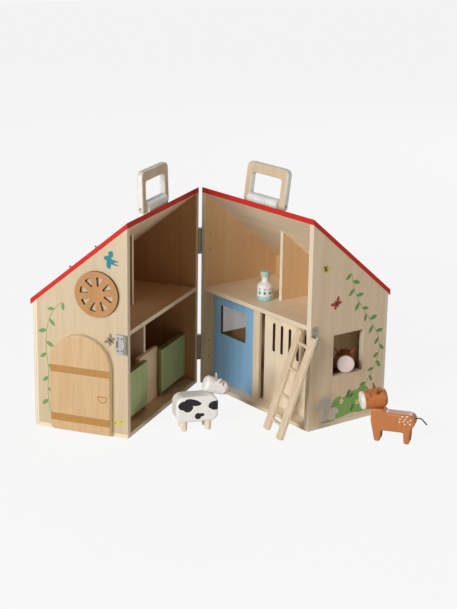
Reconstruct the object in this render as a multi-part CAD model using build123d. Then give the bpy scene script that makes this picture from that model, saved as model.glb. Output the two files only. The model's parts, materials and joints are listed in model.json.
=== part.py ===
from build123d import *
from math import atan, cos, degrees, radians, sin
import os

# Toy barn that splits down its ridge and opens like a book on two butt hinges.
# Everything is drawn in "half" coordinates: u runs along a half from its hinge gable to
# its outer gable, d runs from the open face to the back wall, z is up. The right half is
# placed directly; the left half is mirrored over the open face and swung open.
# The origin is the centre of the underside of the right half.

# --- carcass, the same on both halves ---
half_length = 253.0  # between the outer faces of the two gables
half_depth = 140.0  # open face to the outside of the back wall
ridge_height = 300.0  # ground to the roof top at the open face
eave_height = 185.0  # ground to the roof top over the outside of the back wall
gable_thickness = 8.5
floor_thickness = 6.0
wall_thickness = 6.0
roof_thickness = 6.0
shelf_thickness = 6.0
divider_thickness = 6.0
eave_overhang = 4.0
shelf_height = 145.0  # ground to the underside of the shelf
loft_divider_setback = 48.5  # open face to the front edge of a loft divider
face_gap = 0.6  # between the open faces of the closed barn
open_angle = 57.4  # between the open faces as the barn stands

# --- general fits ---
moving_gap = 0.3  # between a moving piece and its neighbour
glue_gap = 0.05  # round a dowel in a glued hole
running_gap = 0.05  # radial, round a pin that something turns on

# --- butt hinges that join the halves ---
hinge_offset = 4.6  # gable face out to the pin centre
hinge_barrel_radius = 4.0
hinge_pin_radius = 1.6
hinge_leaf_thickness = 1.2
hinge_leaf_width = 18.0
hinge_leaf_relief = 4.5  # leaf edge back from the open face, beside the other leaf's knuckles
hinge_length = 38.5
hinge_lower_height = 55.2  # middle of the lower hinge
hinge_upper_height = 219.0
hinge_knuckles = 5
knuckle_gap = 0.25

# --- carry handles ---
handle_position = 128.0  # hinge gable face to the middle of the handle
handle_width = 90.0
handle_leg_width = 12.0
handle_bar_width = 15.0
handle_thickness = 8.5
handle_reach = 51.0  # pin centre to the top of the bar
handle_leg_end = 7.0  # pin centre to the end of the leg
handle_outer_radius = 9.5
handle_inner_radius = 4.5
handle_edge_radius = 2.0
handle_pin_setback = 16.2  # open face to the pin centre
handle_pin_height = 300.5
handle_pin_radius = 2.0
handle_pin_inset = 1.0  # pin end below the outside of the leg
handle_block_radius = 8.0
handle_side_gap = 0.5
right_handle_lean = 8.0
left_handle_lean = 2.0

# --- lower right room: hinged door, post and sliding door ---
door_line = 17.5  # open face to the front of the door and the post
leaf_thickness = 4.2
leaf_gap = 0.5  # between the leaf and the parts around it
leaf_edge_gap = 0.6  # pivot edge to the post
post_position = 105.0
post_width = 14.0
pivot_radius = 1.0
pivot_depth = 8.0  # pivot pin inside the leaf
pivot_seat = 3.0  # pivot pin inside the floor or the shelf
pane_start = 26.4  # window in the blue door, along u
pane_end = 87.0
pane_bottom = 81.0
pane_top = 125.0
pane_corner_radius = 2.0
slider_start = 125.7
slider_end_gap = 6.5  # to the inside of the outer gable
slider_thickness = 4.2
slider_step = 0.5  # behind the blue door
track_depth = 2.0  # grooves in the floor and the shelf
track_side_gap = 0.3
track_start = 16.0
slot_count = 5
slot_first_margin = 21.1  # edge of the door to the middle of the nearest slot
slot_last_margin = 20.4
slot_width = 6.0
slot_bottom = 84.0
slot_top = 126.5

# --- window in the right outer gable ---
window_setback = 43.0  # its far side to the outside of the back wall
window_width = 55.5
window_bottom = 72.5
window_top = 132.0

# --- lower left room: stall divider, post board and two gates ---
gate_line = 16.0  # open face to the front of the gates
gate_thickness = 8.5
gate_bottom = 14.0
gate_top = 78.0
gate_edge_radius = 1.5
inner_gate_side_gap = 0.7  # free edge to the hinge gable
inner_gate_offset = 29.2  # pivot edge to the middle of the stall divider
outer_gate_side_gap = 8.5  # free edge to the outer gable
outer_gate_offset = 21.5
gate_pin_radius = 2.0
gate_pin_cover = 4.0  # wood over the top of the pin
gate_pin_seat = 4.0
stall_post_inner_reach = 32.5  # from the middle of the stall divider
stall_post_outer_reach = 31.5
stall_post_thickness = 6.0
stall_post_top = 82.0

# --- arched door on the left outer gable ---
arch_middle = 67.5  # along d
arch_radius = 44.7
arch_spring = 96.0  # ground to the centre of the arch
arch_door_bottom = 2.8
arch_door_thickness = 8.2
arch_door_edge_radius = 1.5
arch_foot_radius = 6.0
doorway_radius = 38.7
strap_hinge_barrel_radius = 1.8
strap_hinge_pin_radius = 0.9
strap_hinge_leaf_thickness = 1.0
strap_hinge_leaf_width = 5.5
strap_hinge_length = 18.0
strap_hinge_knuckles = 3
strap_hinge_lower = 26.0
strap_hinge_upper = 82.0
strap_hinge_pocket_gap = 0.2

# --- wheel ornament on the left outer gable ---
wheel_middle = 43.8
wheel_height = 199.6
wheel_radius = 31.5
wheel_rim = 7.5
wheel_window_tip = 8.5  # wheel centre to the point of a window
wheel_window_angle = 35.0  # at that point
wheel_turn = -10.0
wheel_spokes = 8
wheel_thickness = 4.0
wheel_hole_corner_radius = 1.2

# --- turn-button hasp that keeps the barn shut ---
hasp_height = 133.5  # middle of the hasp
hasp_plate_thickness = 0.8
hasp_leaf_thickness = 1.0
hasp_axis_setback = 2.4
hasp_barrel_radius = 1.9
hasp_pin_radius = 0.9
hasp_length = 27.0
hasp_knuckles = 3
hasp_leaf_clearance = 0.4  # between the swung hasp and the plate under it
hasp_leaf_margin = 1.7  # metal beyond the slot
hasp_corner_radius = 2.5
button_setback = 7.0
button_width = 4.4
button_length = 10.5
button_thickness = 2.5
button_stem_radius = 1.9
button_slot_gap = 0.5
button_lift = 0.8  # gap under the button for the hasp
button_plate_width = 10.6
button_plate_length = 34.0

# --- milk bottle on the right shelf ---
bottle_u = 109.0
bottle_d = 34.0
bottle_radius = 11.5
bottle_body_height = 20.0
bottle_shoulder_height = 29.0
bottle_neck_radius = 5.0
bottle_neck_height = 34.0
bottle_cap_radius = 6.8
bottle_cap_height = 7.6
bottle_foot_radius = 1.6

# --- ladder ---
ladder_setback = 51.0  # front left corner of the left foot to the outside of the gable
ladder_turn = 14.0
ladder_lean = 19.0
ladder_extra = 2.0  # longer than the shelf is high
ladder_spacing = 42.0
rail_width = 14.0
rail_thickness = 5.5
rail_edge_radius = 1.0
rung_radius = 2.5
rung_seat = 5.0
rung_first = 18.0
rung_last_margin = 16.2  # last rung to the top of the rails
rung_count = 4

# --- animals: s runs from the rear feet to the nose ---
cow_u = 143.5  # middle of the rear feet
cow_d = -134.0
cow_heading = 68.2
calf_standoff = 107.0  # outside of the gable to the middle of the rear feet
calf_d = 86.5
calf_heading = 216.0
brown_cow_peep = 0.5  # muzzle past the outside of the gable
brown_cow_setback = 75.0  # middle of the muzzle to the outside of the back wall
brown_cow_heading = -37.0

animal_ear_length = 9.0
animal_ear_radius = 2.3
animal_ear_tip_radius = 0.9
animal_ear_tilt = 42.0
neck_rise = 4.5  # of a legged body, over its back
neck_run = 5.0
neck_radius = 6.0
crest_radius = 3.0
leg_taper = 1.2  # each side, from the belly to the foot
leg_foot_radius = 3.2
leg_root_radius = 2.6
haunch_rise = 4.0  # top of the rear leg's back edge over the belly
haunch_radius = 8.0
chest_radius = 20.0
legged_edge_radius = 2.5

cow_stance = 34.0
cow_track = 17.0
cow_leg_radius = 4.7
cow_foot_radius = 4.0
cow_belly = 13.0
cow_back = 50.0
cow_tail_end = -12.0
cow_chest = 47.5
cow_width = 28.0
cow_corner_radius = 11.0
cow_edge_radius = 3.5
cow_head_length = 34.0
cow_head_middle = 46.0  # along the animal
cow_head_height = 59.5
cow_head_radius = 11.8
cow_snout_radius = 9.6
cow_head_nod = 20.0
cow_muzzle_radius = 8.8
cow_muzzle_thickness = 3.5
cow_muzzle_edge = 1.4
cow_ear_place = 0.0  # ahead of the head's middle

calf_stance = 40.2
calf_leg_width = 10.0
calf_belly = 16.0
calf_back = 42.0
calf_tail_end = -10.5
calf_chest = 50.3
calf_width = 20.0
calf_leg_slot = 8.0
calf_corner_radius = 9.0
calf_nape = 34.5
calf_head_length = 36.6
calf_head_middle = 49.0
calf_head_height = 57.5
calf_head_radius = 14.0
calf_snout_radius = 13.0
calf_head_nod = 8.0
calf_head_turn = 25.0
calf_muzzle_radius = 12.7
calf_muzzle_thickness = 5.0
calf_muzzle_edge = 3.0
calf_ear_place = -4.5
calf_tail_height = 36.5
calf_tail_radius = 0.9
calf_tail_seat = 2.0
calf_tail_run = 7.0  # level part behind the rump
calf_tail_reach = 15.0  # rump to the tip, along the animal
calf_tail_drop = 8.0  # root to the tip
calf_tail_bend = 8.0

brown_cow_stance = 34.0
brown_cow_leg_width = 10.5
brown_cow_belly = 24.0
brown_cow_back = 64.0
brown_cow_length = 58.0
brown_cow_nose_overhang = 25.5
brown_cow_width = 32.0
brown_cow_leg_slot = 10.0
brown_cow_corner_radius = 10.0
brown_cow_head_length = 36.0
brown_cow_head_radius = 13.2
brown_cow_snout_radius = 12.9
brown_cow_head_height = 80.0
brown_cow_muzzle_radius = 12.2
brown_cow_muzzle_thickness = 3.5
brown_cow_muzzle_edge = 1.4
brown_cow_ear_place = -6.0

# --- worked out from the sizes above ---
roof_slope = (ridge_height - eave_height) / half_depth
roof_pitch = degrees(atan(roof_slope))
roof_drop = roof_thickness / cos(radians(roof_pitch))
wall_line = half_depth - wall_thickness
shelf_top = shelf_height + shelf_thickness
outer_line = half_length - gable_thickness
divider_position = half_length / 2
slider_end = outer_line - slider_end_gap
slot_first = slider_start + slot_first_margin
slot_pitch = (slider_end - slot_last_margin - slot_first) / (slot_count - 1)
window_end = half_depth - window_setback
window_start = window_end - window_width
inner_gate_start = gable_thickness + inner_gate_side_gap
inner_gate_end = divider_position - inner_gate_offset
outer_gate_start = divider_position + outer_gate_offset
outer_gate_end = outer_line - outer_gate_side_gap
ladder_u = half_length - ladder_setback
ladder_length = shelf_height + ladder_extra
rung_pitch = (ladder_length - rung_last_margin - rung_first) / (rung_count - 1)
slider_line = door_line + leaf_thickness + slider_step
stall_post_line = gate_line + gate_thickness + moving_gap
stall_divider_line = stall_post_line + stall_post_thickness
hinge_x = -half_length / 2 - hinge_offset
hinge_y = -half_depth / 2 - face_gap / 2
upright = (Align.CENTER, Align.CENTER, Align.MIN)  # round parts drawn from their lower end
cornered = (Align.MIN, Align.MIN, Align.MIN)  # boxes drawn from their lowest corner
nodes = {}


def roof_top(d):
    """Height of the roof's upper face at depth d."""
    return ridge_height - roof_slope * d


def roof_under(d):
    return roof_top(d) - roof_drop


def at(u, d, z=0.0):
    """Place from half coordinates."""
    return Pos(u - half_length / 2, d - half_depth / 2, z)


def block(u0, u1, d0, d1, z0, z1):
    """Box between two corners in half coordinates."""
    return at(u0, d0, z0) * Box(u1 - u0, d1 - d0, z1 - z0, align=cornered)


def across(outline, u0, u1):
    """Extrude an outline of (d, z) points along u."""
    face = make_face(Polyline(*outline, close=True))
    return at(u0, 0) * (Plane.YZ * extrude(face, u1 - u0))


def post_of(radius, u, d, z0, z1):
    """Upright round bar."""
    return at(u, d, z0) * Cylinder(radius, z1 - z0, align=upright)


def bar_along(radius, d, z, u0, u1):
    """Round bar along u."""
    bar = Cylinder(radius, u1 - u0, align=upright)
    return at(u0, d, z) * (Rot(0, 90, 0) * bar)


def to_left(shape):
    """Mirror a shape over the open face and swing it open with the left half."""
    over_face = Plane(origin=(0, hinge_y, 0), x_dir=(1, 0, 0), z_dir=(0, 1, 0))
    hinge_line = Axis((hinge_x, hinge_y, 0), (0, 0, 1))
    return mirror(shape, about=over_face).rotate(hinge_line, -open_angle)


def keep(name, *solids, left=False):
    """Store the solids of one node."""
    placed = [to_left(s) if left else s for s in solids]
    nodes[name] = placed[0] if len(placed) == 1 else Compound(placed)


# ---------------------------------------------------------------- carcass
def floor_board():
    return block(0, half_length, 0, half_depth, 0, floor_thickness)


def gable(u0, u1):
    back = roof_under(wall_line)
    foot = floor_thickness
    outline = [(0, foot), (wall_line, foot), (wall_line, back), (0, roof_under(0))]
    return across(outline, u0, u1)


def back_wall():
    inner = roof_under(wall_line)
    outer = roof_under(half_depth)
    foot = floor_thickness
    outline = [(wall_line, foot), (half_depth, foot), (half_depth, outer), (wall_line, inner)]
    return across(outline, 0, half_length)


def roof_panel():
    tip = half_depth + eave_overhang
    outline = [(0, roof_under(0)), (tip, roof_under(tip)), (tip, roof_top(tip)), (0, roof_top(0))]
    return across(outline, 0, half_length)


def shelf():
    return block(gable_thickness, outer_line, 0, wall_line, shelf_height, shelf_top)


def loft_divider():
    front = loft_divider_setback
    back = wall_line
    outline = [(front, shelf_top), (back, shelf_top), (back, roof_under(back)), (front, roof_under(front))]
    start = divider_position - divider_thickness / 2
    return across(outline, start, start + divider_thickness)


# ---------------------------------------------------------------- book hinges
def knuckle_span(bottom, length, count, index):
    """Lower and upper height of one knuckle."""
    pitch = length / count
    return bottom + index * pitch + knuckle_gap / 2, bottom + (index + 1) * pitch - knuckle_gap / 2


def book_hinge_leaf(height, first):
    """Leaf on the gable with every second knuckle, starting from the one given."""
    bottom = height - hinge_length / 2
    axis_d = -face_gap / 2
    inner = -hinge_leaf_thickness
    leaf = block(inner, 0, hinge_leaf_relief, hinge_leaf_width, bottom, bottom + hinge_length)
    for index in range(first, hinge_knuckles, 2):
        low, high = knuckle_span(bottom, hinge_length, hinge_knuckles, index)
        leaf += post_of(hinge_barrel_radius, -hinge_offset, axis_d, low, high)
        leaf += block(inner, 0, axis_d + moving_gap, hinge_leaf_relief, low, high)
    bore = hinge_pin_radius + running_gap
    return leaf - post_of(bore, -hinge_offset, axis_d, bottom, bottom + hinge_length)


def book_hinge_pin(height):
    bottom = height - hinge_length / 2
    return post_of(hinge_pin_radius, -hinge_offset, -face_gap / 2, bottom, bottom + hinge_length)


# ---------------------------------------------------------------- carry handles
def handle_block():
    half_width = handle_width / 2 - handle_leg_width - handle_side_gap
    u0 = handle_position - half_width
    u1 = handle_position + half_width
    near = handle_pin_setback - handle_block_radius
    far = handle_pin_setback + handle_block_radius
    top = handle_pin_height
    outline = [(near, roof_top(near)), (far, roof_top(far)), (far, top), (near, top)]
    saddle = across(outline, u0, u1)
    saddle += bar_along(handle_block_radius, handle_pin_setback, handle_pin_height, u0, u1)
    bore = handle_pin_radius + glue_gap
    return saddle - bar_along(bore, handle_pin_setback, handle_pin_height, u0, u1)


def handle_bail(lean):
    """Flat wooden bail on its pin, leaning back by the angle given."""
    height = handle_reach + handle_leg_end
    outer = Pos(0, (handle_reach - handle_leg_end) / 2) * Rectangle(handle_width, height)
    outer = fillet(outer.vertices().group_by(Axis.Y)[-1], handle_outer_radius)
    inner_width = handle_width - 2 * handle_leg_width
    inner_height = height - handle_bar_width
    inner = Pos(0, inner_height / 2 - handle_leg_end) * Rectangle(inner_width, inner_height)
    inner = fillet(inner.vertices().group_by(Axis.Y)[-1], handle_inner_radius)
    shape = outer - inner
    shape = fillet(shape.vertices().group_by(Axis.Y)[0], handle_leg_width / 2 - glue_gap)
    bail = extrude(Plane.XZ * shape, handle_thickness / 2, both=True)
    curves = bail.edges().filter_by(GeomType.LINE, reverse=True)
    bail = fillet(curves + bail.edges().filter_by(Axis.X), handle_edge_radius)
    bore = Cylinder(handle_pin_radius + running_gap, handle_width)
    bail -= Rot(0, 90, 0) * bore
    return at(handle_position, handle_pin_setback, handle_pin_height) * (Rot(-lean, 0, 0) * bail)


def handle_pin():
    reach = handle_width / 2 - handle_pin_inset
    ends = (handle_position - reach, handle_position + reach)
    return bar_along(handle_pin_radius, handle_pin_setback, handle_pin_height, *ends)


# ---------------------------------------------------------------- doors of the lower right room
def pivot_line():
    """u and d of the blue door's pivots."""
    return post_position - leaf_edge_gap - leaf_thickness / 2, door_line + leaf_thickness / 2


def blue_door():
    """Hinged leaf with a window; its pivot edge is rounded."""
    u, d = pivot_line()
    low = floor_thickness + leaf_gap
    high = shelf_height - leaf_gap
    leaf = block(gable_thickness + leaf_gap, u, door_line, door_line + leaf_thickness, low, high)
    leaf += post_of(leaf_thickness / 2, u, d, low, high)
    width = pane_end - pane_start
    height = pane_top - pane_bottom
    pane = Plane.XZ * RectangleRounded(width, height, pane_corner_radius)
    middle = at((pane_start + pane_end) / 2, d, (pane_bottom + pane_top) / 2)
    leaf -= middle * extrude(pane, leaf_thickness, both=True)
    bore = pivot_radius + running_gap
    leaf -= post_of(bore, u, d, low, low + pivot_depth)
    leaf -= post_of(bore, u, d, high - pivot_depth, high)
    return leaf


def blue_door_pivots():
    u, d = pivot_line()
    reach = pivot_depth - leaf_gap
    lower = post_of(pivot_radius, u, d, floor_thickness - pivot_seat, floor_thickness + reach)
    upper = post_of(pivot_radius, u, d, shelf_height - reach, shelf_height + pivot_seat)
    return lower, upper


def pivot_hole(z0, z1):
    u, d = pivot_line()
    return post_of(pivot_radius + glue_gap, u, d, z0, z1)


def door_post():
    """Strip that the blue door closes against."""
    end = post_position + post_width
    return block(post_position, end, door_line, door_line + leaf_thickness, floor_thickness, shelf_height)


def sliding_door():
    """Stable door with a row of upright slots, which runs in two grooves."""
    grip = track_depth - moving_gap
    low = floor_thickness - grip
    high = shelf_height + grip
    door = block(slider_start, slider_end, slider_line, slider_line + slider_thickness, low, high)
    slot = Plane.XZ * SlotOverall(slot_top - slot_bottom, slot_width, rotation=90)
    for index in range(slot_count):
        place = at(slot_first + index * slot_pitch, slider_line, (slot_bottom + slot_top) / 2)
        door -= place * extrude(slot, slider_thickness * 2, both=True)
    return door


def slider_track(z0, z1):
    """Groove that the sliding door runs in."""
    front = slider_line - track_side_gap
    back = slider_line + slider_thickness + track_side_gap
    return block(track_start, slider_end + moving_gap, front, back, z0, z1)


# ---------------------------------------------------------------- lower left room
def stall_divider():
    u0 = divider_position - divider_thickness / 2
    return block(u0, u0 + divider_thickness, stall_divider_line, wall_line, floor_thickness, shelf_height)


def stall_post():
    """Low board in the middle that both gates close against."""
    start = divider_position - stall_post_inner_reach
    end = divider_position + stall_post_outer_reach
    return block(start, end, stall_post_line, stall_divider_line, floor_thickness, stall_post_top)


def gate(free_edge, pivot_edge):
    """Thick gate with a rounded pivot edge and an upright bore for its pin."""
    turn = gate_thickness / 2 * (1 if free_edge < pivot_edge else -1)
    pivot = pivot_edge - turn
    middle = gate_line + gate_thickness / 2
    low, high = min(free_edge, pivot), max(free_edge, pivot)
    board = block(low, high, gate_line, gate_line + gate_thickness, gate_bottom, gate_top)
    board += post_of(gate_thickness / 2, pivot, middle, gate_bottom, gate_top)
    free_face = board.edges().filter_by(Axis.Z).sort_by(Axis.X)
    free_face = free_face[:2] if free_edge < pivot_edge else free_face[-2:]
    board = fillet(free_face, gate_edge_radius)
    bore_top = gate_top - gate_pin_cover
    return board - post_of(gate_pin_radius + running_gap, pivot, middle, gate_bottom, bore_top)


def gate_pin(pivot, radius=gate_pin_radius):
    top = gate_top - gate_pin_cover - moving_gap
    return post_of(radius, pivot, gate_line + gate_thickness / 2, floor_thickness - gate_pin_seat, top)


# ---------------------------------------------------------------- arched door
def arch(radius, bottom, u0, u1):
    """Door shape: straight sides under a half round top."""
    straight = [(arch_middle - radius, bottom), (arch_middle + radius, bottom)]
    straight += [(arch_middle + radius, arch_spring), (arch_middle - radius, arch_spring)]
    return across(straight, u0, u1) + bar_along(radius, arch_middle, arch_spring, u0, u1)


def strap_axis():
    """u and d of the arched door's hinge pins."""
    return half_length + moving_gap / 2, arch_middle + arch_radius + strap_hinge_barrel_radius


def strap_hinge_leaf(height, first, inner_face):
    """Small leaf let into the wood; inner_face is the u of the face that it is flush with."""
    bottom = height - strap_hinge_length / 2
    u, d = strap_axis()
    edge = arch_middle + arch_radius
    sign = 1 if inner_face > u else -1
    faces = sorted((inner_face, inner_face + sign * strap_hinge_leaf_thickness))
    leaf = block(*faces, edge - strap_hinge_leaf_width, edge, bottom, bottom + strap_hinge_length)
    for index in range(first, strap_hinge_knuckles, 2):
        low, high = knuckle_span(bottom, strap_hinge_length, strap_hinge_knuckles, index)
        leaf += post_of(strap_hinge_barrel_radius, u, d, low, high)
        leaf += block(*faces, edge, d, low, high)
    bore = strap_hinge_pin_radius + running_gap
    return leaf - post_of(bore, u, d, bottom, bottom + strap_hinge_length)


def strap_hinge_pin(height):
    bottom = height - strap_hinge_length / 2
    return post_of(strap_hinge_pin_radius, *strap_axis(), bottom, bottom + strap_hinge_length)


def strap_pocket(height, inner_face):
    """Recess for a leaf and its barrel."""
    gap = strap_hinge_pocket_gap
    u, d = strap_axis()
    low = height - strap_hinge_length / 2 - gap
    high = height + strap_hinge_length / 2 + gap
    edge = arch_middle + arch_radius
    sign = 1 if inner_face > u else -1
    faces = sorted((u, inner_face + sign * (strap_hinge_leaf_thickness + gap)))
    pocket = block(*faces, edge - strap_hinge_leaf_width - gap, edge, low, high)
    pocket += post_of(strap_hinge_barrel_radius + moving_gap, u, d, low, high)
    return pocket + block(*faces, edge, d, low, high)


def arched_door():
    inner = half_length + moving_gap
    outer = inner + arch_door_thickness
    door = arch(arch_radius, arch_door_bottom, inner, outer)
    feet = door.edges().filter_by(Axis.X).group_by(Axis.Z)[0]
    door = fillet(feet.sort_by(Axis.Y)[-1], arch_foot_radius)
    front = door.faces().sort_by(Axis.X)[-1]
    door = fillet(front.edges(), arch_door_edge_radius)
    for height in (strap_hinge_lower, strap_hinge_upper):
        door -= strap_pocket(height, inner)
    return door


def wheel_ornament():
    """Cart wheel cut from thin board: rim, hub and eight three-cornered windows."""
    wheel = Cylinder(wheel_radius, wheel_thickness)
    window_outer = wheel_radius - wheel_rim
    wedge = 360 / wheel_spokes
    side_run = wheel_radius * cos(radians(wheel_window_angle / 2))
    side_rise = wheel_radius * sin(radians(wheel_window_angle / 2))
    far = wheel_window_tip + side_run
    window = make_face(Polyline((wheel_window_tip, 0), (far, side_rise), (far, -side_rise), close=True))
    window = fillet((window & Circle(window_outer)).vertices(), wheel_hole_corner_radius)
    for index in range(wheel_spokes):
        turned = Rot(0, 0, (index + 0.5) * wedge + wheel_turn) * window
        wheel -= extrude(turned, wheel_thickness, both=True)
    flat = Rot(0, 90, 0) * (Rot(0, 0, 90) * wheel)
    return at(half_length + wheel_thickness / 2, wheel_middle, wheel_height) * flat


# ---------------------------------------------------------------- hasp
def hasp_axis():
    """u and d of the hasp's pin."""
    return half_length + moving_gap + hasp_barrel_radius, hasp_axis_setback


def hasp_reach():
    """Pin centre to the button centre when the barn is shut."""
    return button_setback + face_gap + hasp_axis_setback


def hasp_slot_width():
    return button_width + 2 * button_slot_gap


def hasp_leaf_end():
    return hasp_axis_setback + hasp_reach() + hasp_slot_width() / 2 + hasp_leaf_margin


def hasp_plate(inner, thickness, first):
    """Plate behind the pin, with every second knuckle from the one given."""
    bottom = hasp_height - hasp_length / 2
    u, d = hasp_axis()
    start = d + hasp_barrel_radius + moving_gap
    plate = block(inner, inner + thickness, start, hasp_leaf_end(), bottom, bottom + hasp_length)
    plate = fillet(plate.edges().filter_by(Axis.X).group_by(Axis.Y)[-1], hasp_corner_radius)
    for index in range(first, hasp_knuckles, 2):
        low, high = knuckle_span(bottom, hasp_length, hasp_knuckles, index)
        plate += post_of(hasp_barrel_radius, u, d, low, high)
        plate += block(inner, inner + thickness, d, start, low, high)
    return plate - post_of(hasp_pin_radius + running_gap, u, d, bottom, bottom + hasp_length)


def hasp_base():
    """Plate screwed to the left gable."""
    return hasp_plate(half_length, hasp_plate_thickness, 0)


def hasp_pin():
    bottom = hasp_height - hasp_length / 2
    return post_of(hasp_pin_radius, *hasp_axis(), bottom, bottom + hasp_length)


def hasp_leaf():
    """Slotted leaf, folded back over its base plate."""
    u, d = hasp_axis()
    swung_face = half_length + hasp_plate_thickness + hasp_leaf_clearance
    outer = 2 * u - swung_face
    leaf = hasp_plate(outer - hasp_leaf_thickness, hasp_leaf_thickness, 1)
    slot = Plane.YZ * SlotOverall(button_length + 2 * button_slot_gap, hasp_slot_width(), rotation=90)
    place = at(outer, d + hasp_reach(), hasp_height)
    return leaf - place * extrude(slot, hasp_leaf_thickness * 2, both=True)


def button_plate():
    """Plate with a post for the turn button, on the right gable."""
    outline = RectangleRounded(button_plate_width, button_plate_length, hasp_corner_radius)
    place = at(half_length, button_setback + face_gap / 2, hasp_height)
    plate = place * extrude(Plane.YZ * outline, hasp_plate_thickness)
    outer = half_length + hasp_plate_thickness
    bore = button_stem_radius + running_gap
    return plate - bar_along(bore, button_setback, hasp_height, half_length, outer)


def turn_button():
    """Oblong button on a short stem that turns in the gable."""
    swung_hasp = hasp_plate_thickness + hasp_leaf_clearance + hasp_leaf_thickness
    start = half_length + swung_hasp + button_lift
    outline = SlotOverall(button_length, button_width, rotation=90)
    head = at(start, button_setback, hasp_height) * extrude(Plane.YZ * outline, button_thickness)
    stem_start = half_length - gable_thickness / 2
    return head + bar_along(button_stem_radius, button_setback, hasp_height, stem_start, start)


def button_hole():
    bore = button_stem_radius + running_gap
    depth = half_length - gable_thickness / 2 - moving_gap
    return bar_along(bore, button_setback, hasp_height, depth, half_length)


# ---------------------------------------------------------------- bottle
def milk_bottle():
    """Turned bottle: straight body, round shoulder and neck."""
    r = bottle_radius
    foot = bottle_foot_radius
    lip = bottle_neck_height
    middle = (bottle_body_height + bottle_shoulder_height) / 2
    waist = (bottle_neck_radius, bottle_shoulder_height)
    base = Line((0, 0), (r - foot, 0))
    rim = RadiusArc((r - foot, 0), (r, foot), -foot)
    side = Line((r, foot), (r, bottle_body_height))
    shoulder = Bezier((r, bottle_body_height), (r, middle), (bottle_neck_radius, middle), waist)
    neck = Polyline(waist, (bottle_neck_radius, lip), (0, lip), (0, 0))
    section = make_face(base + rim + side + shoulder + neck)
    return at(bottle_u, bottle_d, shelf_top) * revolve(Plane.XZ * section, Axis.Z)


def bottle_cap():
    cap = Cylinder(bottle_cap_radius, bottle_cap_height, align=upright)
    cap = fillet(cap.edges().group_by(Axis.Z)[-1], bottle_foot_radius)
    return at(bottle_u, bottle_d, shelf_top + bottle_neck_height) * cap


# ---------------------------------------------------------------- ladder
def ladder_foot():
    """Distance of the left foot from the open face, with the top rung against the gable's edge."""
    lean = radians(ladder_lean)
    turn = radians(ladder_turn)
    along = rung_first + (rung_count - 1) * rung_pitch
    reach = rail_thickness / 2 * cos(lean) + along * sin(lean) + rung_radius + moving_gap
    return ((outer_line - ladder_u) * sin(turn) - reach) / cos(turn)


def ladder_place(shape):
    """Lean, turn and set down a piece drawn on an upright ladder."""
    leaned = Rot(-ladder_lean, 0, 0) * shape
    return at(ladder_u, ladder_foot()) * (Rot(0, 0, -ladder_turn) * leaned)


def ladder_rail(index):
    """Flat rail with blind holes for the rungs; its foot is cut level."""
    tail = rail_thickness * 2
    start = index * ladder_spacing
    rail = Pos(start, 0, -tail) * Box(rail_width, rail_thickness, ladder_length + tail, align=cornered)
    rail = fillet(rail.edges().filter_by(Axis.Z), rail_edge_radius)
    inner = start + rail_width - rung_seat if index == 0 else start
    for rung in range(rung_count):
        hole = Rot(0, 90, 0) * Cylinder(rung_radius + glue_gap, rung_seat, align=upright)
        rail -= Pos(inner, rail_thickness / 2, rung_first + rung * rung_pitch) * hole
    placed = ladder_place(rail)
    below = half_length * 2
    ground = Pos(0, 0, -below / 2) * Box(below, below, below)
    return placed - ground


def ladder_rung(rung):
    length = ladder_spacing - rail_width + 2 * (rung_seat - glue_gap)
    bar = Rot(0, 90, 0) * Cylinder(rung_radius, length, align=upright)
    start = rail_width - rung_seat + glue_gap
    return ladder_place(Pos(start, rail_thickness / 2, rung_first + rung * rung_pitch) * bar)


# ---------------------------------------------------------------- animals
def stand(shape, u, d, heading, z=0.0):
    """Set an animal down by the middle of its rear feet."""
    return at(u, d, z) * (Rot(0, 0, heading) * shape)


def head_pose(middle, height, nod=0.0, turn=0.0):
    """Place of a head's middle, with its nose turned aside and down."""
    return Pos(middle, 0, height) * Rot(0, 0, turn) * Rot(0, nod, 0)


def along_head(shape, start):
    """Lay an upright turned piece along the head, from the distance before its middle."""
    return Pos(start, 0, 0) * (Rot(0, 90, 0) * shape)


def turned_head(length, radius, snout_radius, muzzle_thickness):
    """Round head with its axis along the animal, softened at the back."""
    head = Cone(radius, snout_radius, length - muzzle_thickness, align=upright)
    head = fillet(head.edges().group_by(Axis.Z)[0], radius / 2)
    return along_head(head, -length / 2)


def head_seat(length, radius, snout_radius):
    """Cradle in the body that the head is glued into."""
    return along_head(Cone(radius + glue_gap, snout_radius + glue_gap, length, align=upright), -length / 2)


def muzzle(length, radius, thickness, edge_radius):
    disc = Cylinder(radius, thickness, align=upright)
    disc = fillet(disc.edges().group_by(Axis.Z)[-1], edge_radius)
    return along_head(disc, length / 2 - thickness)


def ear_line(side, place):
    """Plane on the head's axis that points out through an ear."""
    tilt = radians(animal_ear_tilt)
    return Plane(origin=(place, 0, 0), z_dir=(0, side * sin(tilt), cos(tilt)))


def ear(side, place, radius):
    """Small peg that stands out of the side of the head."""
    sunk = animal_ear_radius
    peg = Cone(animal_ear_radius, animal_ear_tip_radius, animal_ear_length, align=upright)
    peg = Pos(0, 0, radius) * peg
    peg += Pos(0, 0, radius - sunk) * Cylinder(animal_ear_radius, sunk, align=upright)
    return ear_line(side, place) * peg


def with_ear_holes(head, place, radius):
    hole = Cylinder(animal_ear_radius + glue_gap, radius, align=upright)
    bottom = radius - animal_ear_radius - glue_gap
    for side in (-1, 1):
        head -= ear_line(side, place) * (Pos(0, 0, bottom) * hole)
    return head


def cow_head_pose():
    return head_pose(cow_head_middle, cow_head_height, cow_head_nod)


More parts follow.
